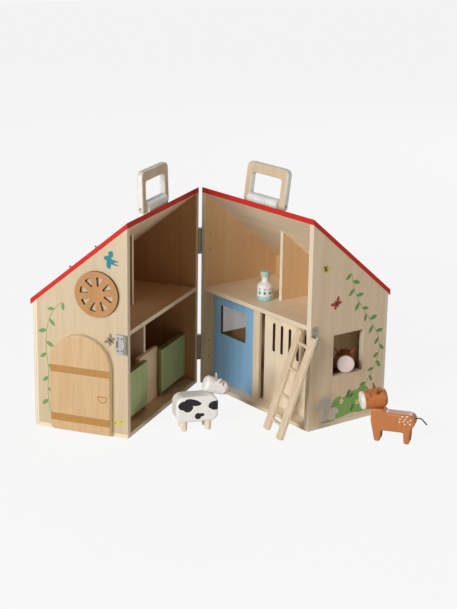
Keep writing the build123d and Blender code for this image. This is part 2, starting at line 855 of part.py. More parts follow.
def cow_body():
    """Rounded block."""
    length = cow_chest - cow_tail_end
    side = RectangleRounded(length, cow_back - cow_belly, cow_corner_radius)
    place = Pos((cow_chest + cow_tail_end) / 2, 0, (cow_back + cow_belly) / 2)
    body = place * extrude(Plane.XZ * side, cow_width / 2, both=True)
    body = fillet(body.faces().filter_by(Axis.Y).edges(), cow_edge_radius)
    for along in (0, cow_stance):
        for side in (-1, 1):
            hole = Cylinder(cow_leg_radius + glue_gap, cow_edge_radius * 2)
            body -= Pos(along, side * cow_track / 2, cow_belly) * hole
    return body - cow_head_pose() * head_seat(cow_head_length, cow_head_radius, cow_snout_radius)


def cow_leg(along, side):
    """Turned peg leg, thinner at the foot."""
    leg = Cone(cow_foot_radius, cow_leg_radius, cow_belly, align=upright)
    leg += Pos(0, 0, cow_belly) * Cylinder(cow_leg_radius, cow_edge_radius - glue_gap, align=upright)
    return Pos(along, side * cow_track / 2, 0) * leg


def rounded(outline, radius, *corners):
    """Round the corners of an outline that lie at the points given."""
    return fillet([outline.vertices().sort_by_distance((*corner, 0))[0] for corner in corners], radius)


def legged_outline(rear, chest, belly, back, stance, leg_width, corner, nape):
    """Side view of a body with its neck and tapering legs."""
    crest = back + neck_rise
    haunch = (belly + back) / 2
    root = leg_width / 2
    foot = root - leg_taper
    rump = [(-foot, 0), (-root, belly + haunch_rise), (rear, haunch), (rear, back)]
    neck = [(nape - neck_run, back), (nape, crest), (chest, crest), (chest, haunch)]
    front = [(stance + foot, 0), (stance - foot, 0), (stance - root, belly)]
    outline = make_face(Polyline(*rump, *neck, *front, (root, belly), (foot, 0), close=True))
    outline = rounded(outline, corner, rump[3])
    outline = rounded(outline, haunch_radius, *rump[1:3])
    outline = rounded(outline, neck_radius, *neck[:2])
    outline = rounded(outline, crest_radius, neck[2])
    outline = rounded(outline, chest_radius, neck[3])
    outline = rounded(outline, leg_root_radius, front[2], (root, belly))
    return rounded(outline, leg_foot_radius, rump[0], front[0], front[1], (foot, 0))


def legged_body(outline, width, slot, belly, seat):
    """Body and legs cut from one thick board, slotted between the left and right legs."""
    body = extrude(Plane.XZ * outline, width / 2, both=True)
    body = fillet(body.faces().filter_by(Axis.Y).edges(), legged_edge_radius)
    return body - Box(half_length, slot, 2 * belly) - seat


def calf_head_pose():
    return head_pose(calf_head_middle, calf_head_height, calf_head_nod, calf_head_turn)


def calf_body():
    sizes = (calf_tail_end, calf_chest, calf_belly, calf_back, calf_stance, calf_leg_width)
    outline = legged_outline(*sizes, calf_corner_radius, calf_nape)
    seat = calf_head_pose() * head_seat(calf_head_length, calf_head_radius, calf_snout_radius)
    body = legged_body(outline, calf_width, calf_leg_slot, calf_belly, seat)
    hole = Rot(0, 90, 0) * Cylinder(calf_tail_radius + glue_gap, calf_tail_seat * 4)
    return body - Pos(calf_tail_end, 0, calf_tail_height) * hole


def calf_tail():
    """Short bent tail, stiff, glued into the rump."""
    inner = calf_tail_end + calf_tail_seat
    path = FilletPolyline(
        (inner, 0, calf_tail_height),
        (calf_tail_end - calf_tail_run, 0, calf_tail_height),
        (calf_tail_end - calf_tail_reach, 0, calf_tail_height - calf_tail_drop),
        radius=calf_tail_bend,
    )
    return sweep(Plane(path @ 0, z_dir=path % 0) * Circle(calf_tail_radius), path)


def brown_cow_frame():
    """Rear foot position of the brown cow, from its nose."""
    heading = radians(brown_cow_heading)
    reach = brown_cow_nose_overhang + brown_cow_length - brown_cow_leg_width
    u = half_length + brown_cow_peep - reach * cos(heading)
    d = half_depth - brown_cow_setback - reach * sin(heading)
    return reach, u, d


def make_right_half():
    floor = floor_board() - pivot_hole(floor_thickness - pivot_seat, floor_thickness)
    keep("right_floor_board", floor - slider_track(floor_thickness - track_depth, floor_thickness))
    keep("right_hinge_gable", gable(0, gable_thickness))
    window = block(outer_line, half_length, window_start, window_end, window_bottom, window_top)
    keep("right_outer_gable", gable(outer_line, half_length) - window - button_hole())
    keep("right_back_wall", back_wall())
    keep("right_roof", roof_panel())
    board = shelf() - pivot_hole(shelf_height, shelf_height + pivot_seat)
    keep("right_shelf", board - slider_track(shelf_height, shelf_height + track_depth))
    keep("right_loft_divider", loft_divider())
    leaves = [book_hinge_leaf(height, 0) for height in (hinge_lower_height, hinge_upper_height)]
    keep("right_hinge_leaves", *leaves)
    keep("right_handle_block", handle_block())
    keep("right_handle_pin", handle_pin())
    keep("right_handle", handle_bail(right_handle_lean))
    keep("blue_door", blue_door())
    keep("blue_door_pivots", *blue_door_pivots())
    keep("door_post", door_post())
    keep("sliding_door", sliding_door())
    keep("button_plate", button_plate())
    keep("turn_button", turn_button())


def make_left_half():
    pivots = [inner_gate_end - gate_thickness / 2, outer_gate_start + gate_thickness / 2]
    floor = floor_board()
    for pivot in pivots:
        floor -= gate_pin(pivot, gate_pin_radius + glue_gap)
    keep("left_floor_board", floor, left=True)
    keep("left_hinge_gable", gable(0, gable_thickness), left=True)
    outer = gable(outer_line, half_length) - arch(doorway_radius, floor_thickness, outer_line, half_length)
    for height in (strap_hinge_lower, strap_hinge_upper):
        outer -= strap_pocket(height, half_length)
    keep("left_outer_gable", outer, left=True)
    keep("left_back_wall", back_wall(), left=True)
    keep("left_roof", roof_panel(), left=True)
    keep("left_shelf", shelf(), left=True)
    keep("left_loft_divider", loft_divider(), left=True)
    leaves = [book_hinge_leaf(height, 1) for height in (hinge_lower_height, hinge_upper_height)]
    keep("left_hinge_leaves", *leaves, left=True)
    keep("hinge_pins", book_hinge_pin(hinge_lower_height), book_hinge_pin(hinge_upper_height))
    keep("left_handle_block", handle_block(), left=True)
    keep("left_handle_pin", handle_pin(), left=True)
    keep("left_handle", handle_bail(left_handle_lean), left=True)
    keep("stall_divider", stall_divider(), left=True)
    keep("stall_post", stall_post(), left=True)
    keep("inner_gate", gate(inner_gate_start, inner_gate_end), left=True)
    keep("outer_gate", gate(outer_gate_end, outer_gate_start), left=True)
    keep("gate_pins", *[gate_pin(pivot) for pivot in pivots], left=True)
    keep("wheel_ornament", wheel_ornament(), left=True)
    keep("hasp_base", hasp_base(), hasp_pin(), left=True)
    keep("hasp_leaf", hasp_leaf(), left=True)


def make_arched_door():
    heights = (strap_hinge_lower, strap_hinge_upper)
    inner = half_length + moving_gap
    keep("arched_door", arched_door(), left=True)
    keep("door_hinge_leaves", *[strap_hinge_leaf(height, 1, inner) for height in heights], left=True)
    keep("gable_hinge_leaves", *[strap_hinge_leaf(height, 0, half_length) for height in heights], left=True)
    keep("door_hinge_pins", *[strap_hinge_pin(height) for height in heights], left=True)


def make_loose_pieces():
    keep("milk_bottle", milk_bottle())
    keep("bottle_cap", bottle_cap())
    keep("ladder_left_rail", ladder_rail(0))
    keep("ladder_right_rail", ladder_rail(1))
    keep("ladder_rungs", *[ladder_rung(rung) for rung in range(rung_count)])


def make_head(name, place, pose, sizes, disc, ear_place):
    """Keep a head, its muzzle disc and its ears; the ears of the brown cow are in its head's node."""
    length, radius, snout_radius = sizes
    share = (ear_place + length / 2) / (length - disc[1])
    ear_seat = radius + (snout_radius - radius) * share
    head = with_ear_holes(turned_head(*sizes, disc[1]), ear_place, ear_seat)
    ears = [stand(pose * ear(side, ear_place, ear_seat), *place) for side in (-1, 1)]
    inner = ears if name == "brown_cow" else []
    keep(f"{name}_head", stand(pose * head, *place), *inner)
    keep(f"{name}_muzzle", stand(pose * muzzle(length, *disc), *place))
    if not inner:
        keep(f"{name}_ears", *ears)


def make_cow():
    place = (cow_u, cow_d, cow_heading)
    keep("cow_body", stand(cow_body(), *place))
    legs = [cow_leg(along, side) for along in (0, cow_stance) for side in (-1, 1)]
    keep("cow_legs", *[stand(leg, *place) for leg in legs])
    sizes = (cow_head_length, cow_head_radius, cow_snout_radius)
    disc = (cow_muzzle_radius, cow_muzzle_thickness, cow_muzzle_edge)
    make_head("cow", place, cow_head_pose(), sizes, disc, cow_ear_place)


def make_calf():
    place = (half_length + calf_standoff, calf_d, calf_heading)
    keep("calf_body", stand(calf_body(), *place))
    keep("calf_tail", stand(calf_tail(), *place))
    sizes = (calf_head_length, calf_head_radius, calf_snout_radius)
    disc = (calf_muzzle_radius, calf_muzzle_thickness, calf_muzzle_edge)
    make_head("calf", place, calf_head_pose(), sizes, disc, calf_ear_place)


def make_brown_cow():
    reach, u, d = brown_cow_frame()
    place = (u, d, brown_cow_heading, floor_thickness)
    sizes = (brown_cow_head_length, brown_cow_head_radius, brown_cow_snout_radius)
    pose = head_pose(reach - brown_cow_head_length / 2, brown_cow_head_height)
    chest = reach - brown_cow_nose_overhang
    ends = (chest - brown_cow_length, chest, brown_cow_belly, brown_cow_back)
    nape = reach - brown_cow_head_length
    outline = legged_outline(*ends, brown_cow_stance, brown_cow_leg_width, brown_cow_corner_radius, nape)
    seat = pose * head_seat(*sizes)
    body = legged_body(outline, brown_cow_width, brown_cow_leg_slot, brown_cow_belly, seat)
    keep("brown_cow_body", stand(body, *place))
    disc = (brown_cow_muzzle_radius, brown_cow_muzzle_thickness, brown_cow_muzzle_edge)
    make_head("brown_cow", place, pose, sizes, disc, brown_cow_ear_place)


make_right_half()
make_left_half()
make_arched_door()
make_loose_pieces()
make_cow()
make_calf()
make_brown_cow()

os.makedirs("parts", exist_ok=True)
for name, shape in nodes.items():
    export_step(shape, f"parts/{name}.step")
    print(name, len(shape.solids()))
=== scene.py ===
import bpy
import bmesh
import json
from math import cos, degrees, pi, radians, sin, tan, tau
from mathutils import Matrix, Vector


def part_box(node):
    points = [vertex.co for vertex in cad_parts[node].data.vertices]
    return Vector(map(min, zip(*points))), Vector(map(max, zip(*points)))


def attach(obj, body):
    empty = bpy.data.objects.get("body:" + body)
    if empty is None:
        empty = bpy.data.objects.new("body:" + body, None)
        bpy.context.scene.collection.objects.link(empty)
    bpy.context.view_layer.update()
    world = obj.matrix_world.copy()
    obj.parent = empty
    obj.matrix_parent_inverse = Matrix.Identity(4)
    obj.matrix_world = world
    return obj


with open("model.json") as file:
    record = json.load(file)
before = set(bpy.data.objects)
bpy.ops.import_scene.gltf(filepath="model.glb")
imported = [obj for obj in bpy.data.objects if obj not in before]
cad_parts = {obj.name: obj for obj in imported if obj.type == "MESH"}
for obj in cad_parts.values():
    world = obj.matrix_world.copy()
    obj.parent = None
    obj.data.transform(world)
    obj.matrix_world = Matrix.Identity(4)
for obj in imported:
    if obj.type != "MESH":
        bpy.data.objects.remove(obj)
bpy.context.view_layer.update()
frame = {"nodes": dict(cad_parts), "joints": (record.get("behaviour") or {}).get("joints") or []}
nodes = frame["nodes"]
mm = 0.001
print("frame loaded:", len(nodes), "nodes")

# The two halves share one drawing in mm: u from the hinge gable, d from the open face, z up.
joints = {joint["name"]: joint for joint in frame["joints"]}
floorLow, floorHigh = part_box("right_floor_board")
hinge = Vector(joints["book_close"]["pos_m"])
openAngle = -radians(joints["book_close"]["range_deg"][0])
rightHalf = Matrix.Translation((floorLow.x, floorLow.y, 0)) @ Matrix.Scale(mm, 4)
toHinge = Matrix.Translation(hinge)
overFace = toHinge @ Matrix.Scale(-1, 4, (0, 1, 0)) @ toHinge.inverted()  # mirrored at the open face
leftHalf = toHinge @ Matrix.Rotation(-openAngle, 4, "Z") @ toHinge.inverted() @ overFace @ rightHalf
halves = {"right": rightHalf, "left": leftHalf}

boards = {  # thicknesses of the boards and plates that pieces lie on, and the length of a half
    "gable": 8.5, "roof": 6.0, "hingeLeaf": 1.2, "fitting": 0.8, "length": (floorHigh.x - floorLow.x) / mm,
}
planes = {  # from (d, z, out) on a face to (u, d, z)
    "outerGable": Matrix(((0, 0, 1, boards["length"]), (1, 0, 0, 0), (0, 1, 0, 0), (0, 0, 0, 1))),
    "hingeLeaf": Matrix(((0, 0, -1, -boards["hingeLeaf"]), (1, 0, 0, 0), (0, 1, 0, 0), (0, 0, 0, 1))),
    "hingeGableInside": Matrix(((0, 0, 1, boards["gable"]), (1, 0, 0, 0), (0, 1, 0, 0), (0, 0, 0, 1))),
}


def linear(hexText):
    channels = [int(hexText[i:i + 2], 16) / 255 for i in (1, 3, 5)]
    return [c / 12.92 if c <= 0.04045 else ((c + 0.055) / 1.055) ** 2.4 for c in channels] + [1.0]


def addNode(tree, kind, inputs=None, **settings):  # an input is a value, or a node or socket to link from
    node = tree.nodes.new(kind)
    for key, value in settings.items():
        setattr(node, key, value)
    for key, value in (inputs or {}).items():
        if isinstance(value, bpy.types.Node):
            value = next(socket for socket in value.outputs if socket.enabled)
        if isinstance(value, bpy.types.NodeSocket):
            tree.links.new(value, node.inputs[key])
        else:
            node.inputs[key].default_value = value
    return node


# settings of a Mix node for colours, whose sockets A and B are numbers 6 and 7
blend = {"data_type": "RGBA"}
multiply = {"data_type": "RGBA", "blend_type": "MULTIPLY"}


def newMaterial(name, finish):
    material = bpy.data.materials.new(name)
    material.use_nodes = True
    tree = material.node_tree
    tree.nodes.clear()
    shader = addNode(tree, "ShaderNodeBsdfPrincipled", finish)
    addNode(tree, "ShaderNodeOutputMaterial", {"Surface": shader})
    return material, tree, shader


def finishMaterial(tree, shader, colour, height, strength, distance):  # its colour, and a bump in mm
    tree.links.new(colour.outputs[2], shader.inputs["Base Color"])
    bump = {"Height": height, "Strength": strength, "Distance": distance * mm}
    bump = addNode(tree, "ShaderNodeBump", bump)
    tree.links.new(bump.outputs["Normal"], shader.inputs["Normal"])


def boardSpace(tree, side):  # place and normal, turned so that x is u, whatever the half
    coords = addNode(tree, "ShaderNodeTexCoord")
    turn = openAngle if side == "left" else 0.0
    return [addNode(tree, "ShaderNodeVectorRotate", {"Vector": coords.outputs[output], "Angle": turn},
                    rotation_type="Z_AXIS") for output in ("Object", "Normal")]


def grainPattern(tree, place, width, along, stretch, **noise):  # marks of a width in mm, drawn out along
    size = [1 / (width * mm)] * 3
    size["xyz".index(along)] /= stretch
    mapped = addNode(tree, "ShaderNodeMapping", {"Vector": place, "Scale": size})
    return addNode(tree, "ShaderNodeTexNoise", {"Vector": mapped, "Scale": 1.0, **noise})


def facing(tree, normal, axis, edge=0.5):  # 1 where a face looks along the axis, either way
    parts = addNode(tree, "ShaderNodeSeparateXYZ", {"Vector": normal})
    size = addNode(tree, "ShaderNodeMath", {0: parts.outputs["xyz".index(axis)]}, operation="ABSOLUTE")
    return addNode(tree, "ShaderNodeMath", {0: size, 1: edge}, operation="GREATER_THAN")


def woodGrain(tree, place, look):  # broad figure and fine fibres of one cut of wood
    figure = grainPattern(tree, place, look["figure"], look["along"], 14,
                          Detail=3.0, Roughness=0.55, Distortion=0.6)
    fibre = grainPattern(tree, place, look["fibre"], look["along"], 30, Detail=5.0, Roughness=0.7)
    ramp = addNode(tree, "ShaderNodeValToRGB", {"Fac": figure})
    for element, position, tone in zip(ramp.color_ramp.elements, (0.36, 0.64), ("dark", "light")):
        element.position = position
        element.color = linear(look[tone])
    shade = addNode(tree, "ShaderNodeMapRange", {
        "Value": fibre, "From Min": 0.3, "From Max": 0.7, "To Min": 1 - look["depth"], "To Max": 1.0})
    return addNode(tree, "ShaderNodeMix", {0: 1.0, 6: ramp, 7: shade}, **multiply), fibre


# Birch plywood under clear satin lacquer: a rotary cut face with a faint broad figure and
# fine fibres, and pale edges that show the thin layers.
birch = {
    "light": "#EAD3B2", "dark": "#E4CAA5", "edge": "#F1E7D5", "layer": "#DCC7A3",
    "figure": 14.0, "fibre": 0.9, "depth": 0.06, "ply": 1.4,  # mm, mm, share, mm
}


def birchPly(name, side, along, thickness, inside=None, **changes):  # inside: (axis, sign, tint) of one face, the tint being painted shade on the inner faces
    look = dict(birch, along=along, **changes)
    lacquer = {"Roughness": 0.5, "Coat Weight": 0.12, "Coat Roughness": 0.35}
    material, tree, shader = newMaterial(name, lacquer)
    place, normal = boardSpace(tree, side)
    colour, fibre = woodGrain(tree, place, look)
    layers = addNode(tree, "ShaderNodeTexWave", {
        "Vector": place, "Scale": pi / 10 / (2 * look["ply"] * mm), "Distortion": 0.4, "Detail": 1.0},
        bands_direction=thickness.upper())
    edge = addNode(tree, "ShaderNodeMix", {
        0: layers.outputs["Fac"], 6: linear(look["layer"]), 7: linear(look["edge"])}, **blend)
    # painted shade: the inner faces are multiplied by a warm tint that stands for the dim light inside the
    # barn
    if inside:
        axis, sign, tint = inside
        way = addNode(tree, "ShaderNodeSeparateXYZ", {"Vector": normal}).outputs["xyz".index(axis)]
        inward = addNode(tree, "ShaderNodeMath", {0: way, 1: sign}, operation="MULTIPLY")
        inner = addNode(tree, "ShaderNodeMath", {0: inward, 1: 0.5}, operation="GREATER_THAN")
        paintedShade = addNode(tree, "ShaderNodeMix", {0: 1.0, 6: colour, 7: linear(tint)}, **multiply)
        colour = addNode(tree, "ShaderNodeMix", {0: inner, 6: colour, 7: paintedShade}, **blend)
    face = facing(tree, normal, thickness)
    colour = addNode(tree, "ShaderNodeMix", {0: face, 6: edge, 7: colour}, **blend)
    finishMaterial(tree, shader, colour, fibre, 0.25, 0.05)
    return material


def dress(material, *names):
    for name in names:
        nodes[name].material_slots[0].material = material


# Painted light and shade per half: the inner faces get a painted warm shade tint, the whole left half is
# painted darker as painted shade, and the right half's floor and shelf are painted paler as painted light.
litAndShadedTones = {
    "right": {"face": ("#EAD3B2", "#E4CAA5"), "level": ("#F8E8CF", "#F2DEC0"), "paintedShade": "#FFEFDA", "back": -1},
    "left": {"face": ("#D2BF9E", "#CCB592"), "level": ("#DAB48A", "#CFA678"), "paintedShade": "#EFC6A0", "back": 1},
}
for side, litAndShaded in litAndShadedTones.items():
    acrossU = ("x", 1, litAndShaded["paintedShade"])
    acrossD = ("y", litAndShaded["back"], litAndShaded["paintedShade"])
    for name, along, thickness, inside, tone, parts in (
            ("Gable", "z", "x", None, "face", ["outer_gable"]),
            ("Hinge", "z", "x", acrossU, "face", ["hinge_gable"]),
            ("Divider", "z", "x", acrossU, "face", ["loft_divider"]),
            ("Back", "z", "y", acrossD, "face", ["back_wall"]),
            ("Level", "x", "z", None, "level", ["floor_board", "shelf"])):
        # these light and dark tones carry each half's painted light or painted shade
        light, dark = litAndShaded[tone]
        ply = birchPly(f"birchPly{name}_{side}", side, along, thickness, inside, light=light, dark=dark)
        dress(ply, *[f"{side}_{part}" for part in parts])
dress(birchPly("birchPlyDivider", "left", "z", "x"), "stall_divider")
dress(birchPly("birchPlyPost", "left", "x", "y"), "stall_post")
dress(birchPly("birchPlyPostStrip", "right", "z", "y", light="#F1DFC2", dark="#EAD3AF"), "door_post")
scorched = {"light": "#F4E4C9", "dark": "#EED9B8", "edge": "#5A3A22", "layer": "#4A2E1A"}  # laser cut edges
dress(birchPly("birchPlyDoor", "right", "z", "y", **scorched), "sliding_door")

# Roof panels: pale washed plywood, matt, with its cut edges painted signal red.
roofLook = {"light": "#F0DFC6", "dark": "#E6D2B5", "red": "#CB2F27"}


def roofPly(name, side):
    look = dict(birch, along="x", light=roofLook["light"], dark=roofLook["dark"])
    material, tree, shader = newMaterial(name, {"Roughness": 0.8, "Specular IOR Level": 0.3})
    place, normal = boardSpace(tree, side)
    colour, fibre = woodGrain(tree, place, look)
    flat = facing(tree, normal, "z", 0.35)
    colour = addNode(tree, "ShaderNodeMix", {0: flat, 6: linear(roofLook["red"]), 7: colour}, **blend)
    finishMaterial(tree, shader, colour, fibre, 0.25, 0.05)
    return material


for side in halves:
    dress(roofPly(f"redEdgedPly_{side}", side), f"{side}_roof")

# Painted plywood: opaque satin paint on the broad faces, the grain just telegraphing through,
# and another colour on the cut edges.
paintedBoards = {  # side, axis through the board, face, edge, depth of the grain, nodes
    "blueDoorPaint": ("right", "y", "#93C5EC", "#6A3E24", 0.08, ["blue_door"]),
    "greenGatePaint": ("left", "y", "#B2C488", "#8C8A55", 0.08, ["inner_gate", "outer_gate"]),
    "wheelBrownPaint": ("left", "x", "#C1894F", "#4A2610", 0.15, ["wheel_ornament"]),
    "rightHandlePly": ("right", "y", "#E8CFAE", "#EFEDE8", 0.08, ["right_handle"]),
    "leftHandlePly": ("left", "y", "#E8CFAE", "#EFEDE8", 0.08, ["left_handle"]),
    "whiteBlockPaint": ("right", "y", "#F8F8F6", "#F8F8F6", 0.02, [
        "right_handle_block", "left_handle_block"]),
}


def paintedPly(name, side, thickness, paint, edge, grain):
    material, tree, shader = newMaterial(name, {"Roughness": 0.45})
    place, normal = boardSpace(tree, side)
    tint, fibre = woodGrain(tree, place, dict(birch, along="z", light="#FFFFFF", dark="#F2F2F2", depth=grain))
    face = facing(tree, normal, thickness, 0.6)
    colour = addNode(tree, "ShaderNodeMix", {0: face, 6: linear(edge), 7: linear(paint)}, **blend)
    colour = addNode(tree, "ShaderNodeMix", {0: 1.0, 6: colour, 7: tint}, **multiply)
    finishMaterial(tree, shader, colour, fibre, 0.2, 0.05)
    return material


for name, (side, thickness, paint, edge, grain, boardNodes) in paintedBoards.items():
    dress(paintedPly(name, side, thickness, paint, edge, grain), *boardNodes)

# Arched door: tan stained plywood with two printed bars, each from one height to another in mm.
archedDoor = {
    "light": "#D6B588", "dark": "#CFAA7B", "edge": "#E3CDA6", "bar": "#B5843F",
    "low": (15.8, 26.3), "high": (85.5, 95.5), "depth": 0.09, "figure": 7.0,
}


def archedDoorPly():
    material, tree, shader = newMaterial("archedDoorPly", {"Roughness": 0.5, "Coat Weight": 0.1})
    place, normal = boardSpace(tree, "left")
    colour, fibre = woodGrain(tree, place, dict(birch, along="z", **archedDoor))
    height = addNode(tree, "ShaderNodeSeparateXYZ", {"Vector": place}).outputs["Z"]
    shade = addNode(tree, "ShaderNodeMapRange", {
        "Value": fibre, "From Min": 0.35, "From Max": 0.65, "To Min": 0.82, "To Max": 1.08})
    bar = addNode(tree, "ShaderNodeMix", {0: 1.0, 6: linear(archedDoor["bar"]), 7: shade}, **multiply)
    for low, high in (archedDoor["low"], archedDoor["high"]):
        within = {0: height, 1: (low + high) / 2 * mm, 2: (high - low) / 2 * mm}
        inBar = addNode(tree, "ShaderNodeMath", within, operation="COMPARE")
        colour = addNode(tree, "ShaderNodeMix", {0: inBar, 6: colour, 7: bar}, **blend)
    face = facing(tree, normal, "x", 0.6)
    colour = addNode(tree, "ShaderNodeMix", {0: face, 6: linear(archedDoor["edge"]), 7: colour}, **blend)
    finishMaterial(tree, shader, colour, fibre, 0.25, 0.05)
    return material


dress(archedDoorPly(), "arched_door")

# Beech: planed solid wood with short fine fibres, a little pinker than the plywood.
beechLook = {"figure": 5.0, "fibre": 0.7, "depth": 0.12, "along": "z"}


def beech(name, light, dark):
    material, tree, shader = newMaterial(name, {"Roughness": 0.5})
    place, normal = boardSpace(tree, "right")
    colour, fibre = woodGrain(tree, place, dict(beechLook, light=light, dark=dark))
    finishMaterial(tree, shader, colour, fibre, 0.3, 0.05)
    return material


dress(beech("ladderBeech", "#F2DFC2", "#E8CDA9"), "ladder_left_rail", "ladder_right_rail", "ladder_rungs")
dress(beech("legBeech", "#F1E6D0", "#EADBBF"), "cow_legs", "cow_ears")

# The animals' own drawing in mm: s runs forward from the middle of the rear feet, z up.
animals = {
    "cow": {"feet": (143.5, -134.0), "heading": 68.2, "head": (46.0, 59.5), "nod": 20.0, "turn": 0.0,
            "radii": (11.8, 9.6), "length": 34.0, "mark": "#1E1B1D", "ragged": 0.25},
    "calf": {"feet": (360.0, 86.5), "heading": 216.0, "head": (49.0, 57.5), "nod": 8.0, "turn": 25.0,
             "radii": (14.0, 13.0), "length": 36.6, "mark": "#F3E3D2", "ragged": 0.1},
}
patches = {  # s, z, half length, half height, tilt
    "cow": [(-1.5, 38, 7.8, 6.4, 0), (4.5, 35, 7.0, 6.4, 20), (11, 42, 12.0, 4.6, -14),
            (42.5, 35.8, 9.2, 6.6, 0), (18.6, 21.6, 4.6, 4.6, 0), (23.4, 23.4, 4.2, 2.4, 0)],
    "calf": [(s, z, 1.35, 1.05, -35) for s, z in (
        (7.1, 39.4), (0.6, 39.9), (9.7, 35.9), (2.9, 36.0), (-4.6, 35.8),
        (10.2, 31.5), (4.8, 33.2), (-1.1, 32.7), (3.2, 29.4), (-4.2, 29.8))],
}


def animalPlace(name):
    look = animals[name]
    feet = Matrix.Translation((*look["feet"], 0.0))
    return rightHalf @ feet @ Matrix.Rotation(radians(look["heading"]), 4, "Z")


def headPlace(name):
    look = animals[name]
    middle = Matrix.Translation((look["head"][0], 0.0, look["head"][1]))
    turn = Matrix.Rotation(radians(look["turn"]), 4, "Z") @ Matrix.Rotation(radians(look["nod"]), 4, "Y")
    return animalPlace(name) @ middle @ turn


def patchMarks(tree, coords, base, name):  # soft edged patches of another colour on an animal's body
    look = animals[name]
    feet = animalPlace(name).translation
    centred = addNode(tree, "ShaderNodeVectorMath", {0: coords, 1: feet}, operation="SUBTRACT")
    heading = {"Vector": centred, "Angle": -radians(look["heading"])}
    turned = addNode(tree, "ShaderNodeVectorRotate", heading, rotation_type="Z_AXIS")
    edge = 1.0 + look["ragged"] / 2
    wobble = grainPattern(tree, turned, 6.0, "z", 1, Detail=1.0)
    mask = 0.0
    for s, z, long, high, tilt in patches[name]:
        middle = (s * mm, 0, z * mm)
        moved = addNode(tree, "ShaderNodeVectorMath", {0: turned, 1: middle}, operation="SUBTRACT")
        tilted = {"Vector": moved, "Angle": radians(tilt)}
        tilted = addNode(tree, "ShaderNodeVectorRotate", tilted, rotation_type="Y_AXIS")
        size = (1 / (long * mm), 0, 1 / (high * mm))
        scaled = addNode(tree, "ShaderNodeVectorMath", {0: tilted, 1: size}, operation="MULTIPLY")
        reach = addNode(tree, "ShaderNodeVectorMath", {0: scaled}, operation="LENGTH")
        uneven = {0: wobble, 1: look["ragged"], 2: reach}
        uneven = addNode(tree, "ShaderNodeMath", uneven, operation="MULTIPLY_ADD")
        inside = addNode(tree, "ShaderNodeMath", {0: uneven, 1: edge}, operation="LESS_THAN")
        mask = addNode(tree, "ShaderNodeMath", {0: mask, 1: inside}, operation="MAXIMUM")
    return addNode(tree, "ShaderNodeMix", {0: mask, 6: base, 7: linear(look["mark"])}, **blend)


def cowMarks(tree, coords, base):
    return patchMarks(tree, coords, base, "cow")


def calfMarks(tree, coords, base):
    return patchMarks(tree, coords, base, "calf")


# Milk bottle: a pale aqua foot with fine dots, under two rows of blue lozenges. Heights in mm from its foot.
bottle = {
    "middle": (109.0, 34.0, 151.0), "around": 9.0, "rows": ((11.5, 2.6, -0.2), (17.0, 1.3, 0.1)), "foot": 6.5,
    "lozenge": "#5C8FA8", "aqua": "#9FD0D2", "dot": "#F4F6F2", "dotPitch": 1.8, "dotSize": 0.3,
}


def bottleMarks(tree, coords, base):
    centre = rightHalf @ Vector(bottle["middle"])
    centred = addNode(tree, "ShaderNodeVectorMath", {0: coords, 1: centre}, operation="SUBTRACT")
    parts = addNode(tree, "ShaderNodeSeparateXYZ", {"Vector": centred}).outputs
    angle = addNode(tree, "ShaderNodeMath", {0: parts["Y"], 1: parts["X"]}, operation="ARCTAN2")
    height = addNode(tree, "ShaderNodeMath", {0: parts["Z"], 1: 1 / mm}, operation="MULTIPLY")
    turns = addNode(tree, "ShaderNodeMath", {0: angle, 1: bottle["around"]}, operation="MULTIPLY")
    wave = addNode(tree, "ShaderNodeMath", {0: turns}, operation="COSINE")
    colour = base
    for level, reach, low in bottle["rows"]:
        above = addNode(tree, "ShaderNodeMath", {0: height, 1: level}, operation="SUBTRACT")
        away = addNode(tree, "ShaderNodeMath", {0: above}, operation="ABSOLUTE")
        share = addNode(tree, "ShaderNodeMath", {0: away, 1: reach}, operation="DIVIDE")
        edge = addNode(tree, "ShaderNodeMath", {0: share, 1: 1.2, 2: low}, operation="MULTIPLY_ADD")
        lozenge = addNode(tree, "ShaderNodeMath", {0: wave, 1: edge}, operation="GREATER_THAN")
        near = addNode(tree, "ShaderNodeMath", {0: away, 1: reach}, operation="LESS_THAN")
        both = addNode(tree, "ShaderNodeMath", {0: lozenge, 1: near}, operation="MULTIPLY")
        colour = addNode(tree, "ShaderNodeMix", {0: both, 6: colour, 7: linear(bottle["lozenge"])}, **blend)
    dotted = {"Vector": centred, "Scale": 1 / (bottle["dotPitch"] * mm), "Randomness": 0.2}
    dots = addNode(tree, "ShaderNodeTexVoronoi", dotted)
    dot = addNode(tree, "ShaderNodeMath", {0: dots, 1: bottle["dotSize"]}, operation="LESS_THAN")
    aqua = {0: dot, 6: linear(bottle["aqua"]), 7: linear(bottle["dot"])}
    aqua = addNode(tree, "ShaderNodeMix", aqua, **blend)
    foot = addNode(tree, "ShaderNodeMath", {0: height, 1: bottle["foot"]}, operation="LESS_THAN")
    return addNode(tree, "ShaderNodeMix", {0: foot, 6: colour, 7: aqua}, **blend)


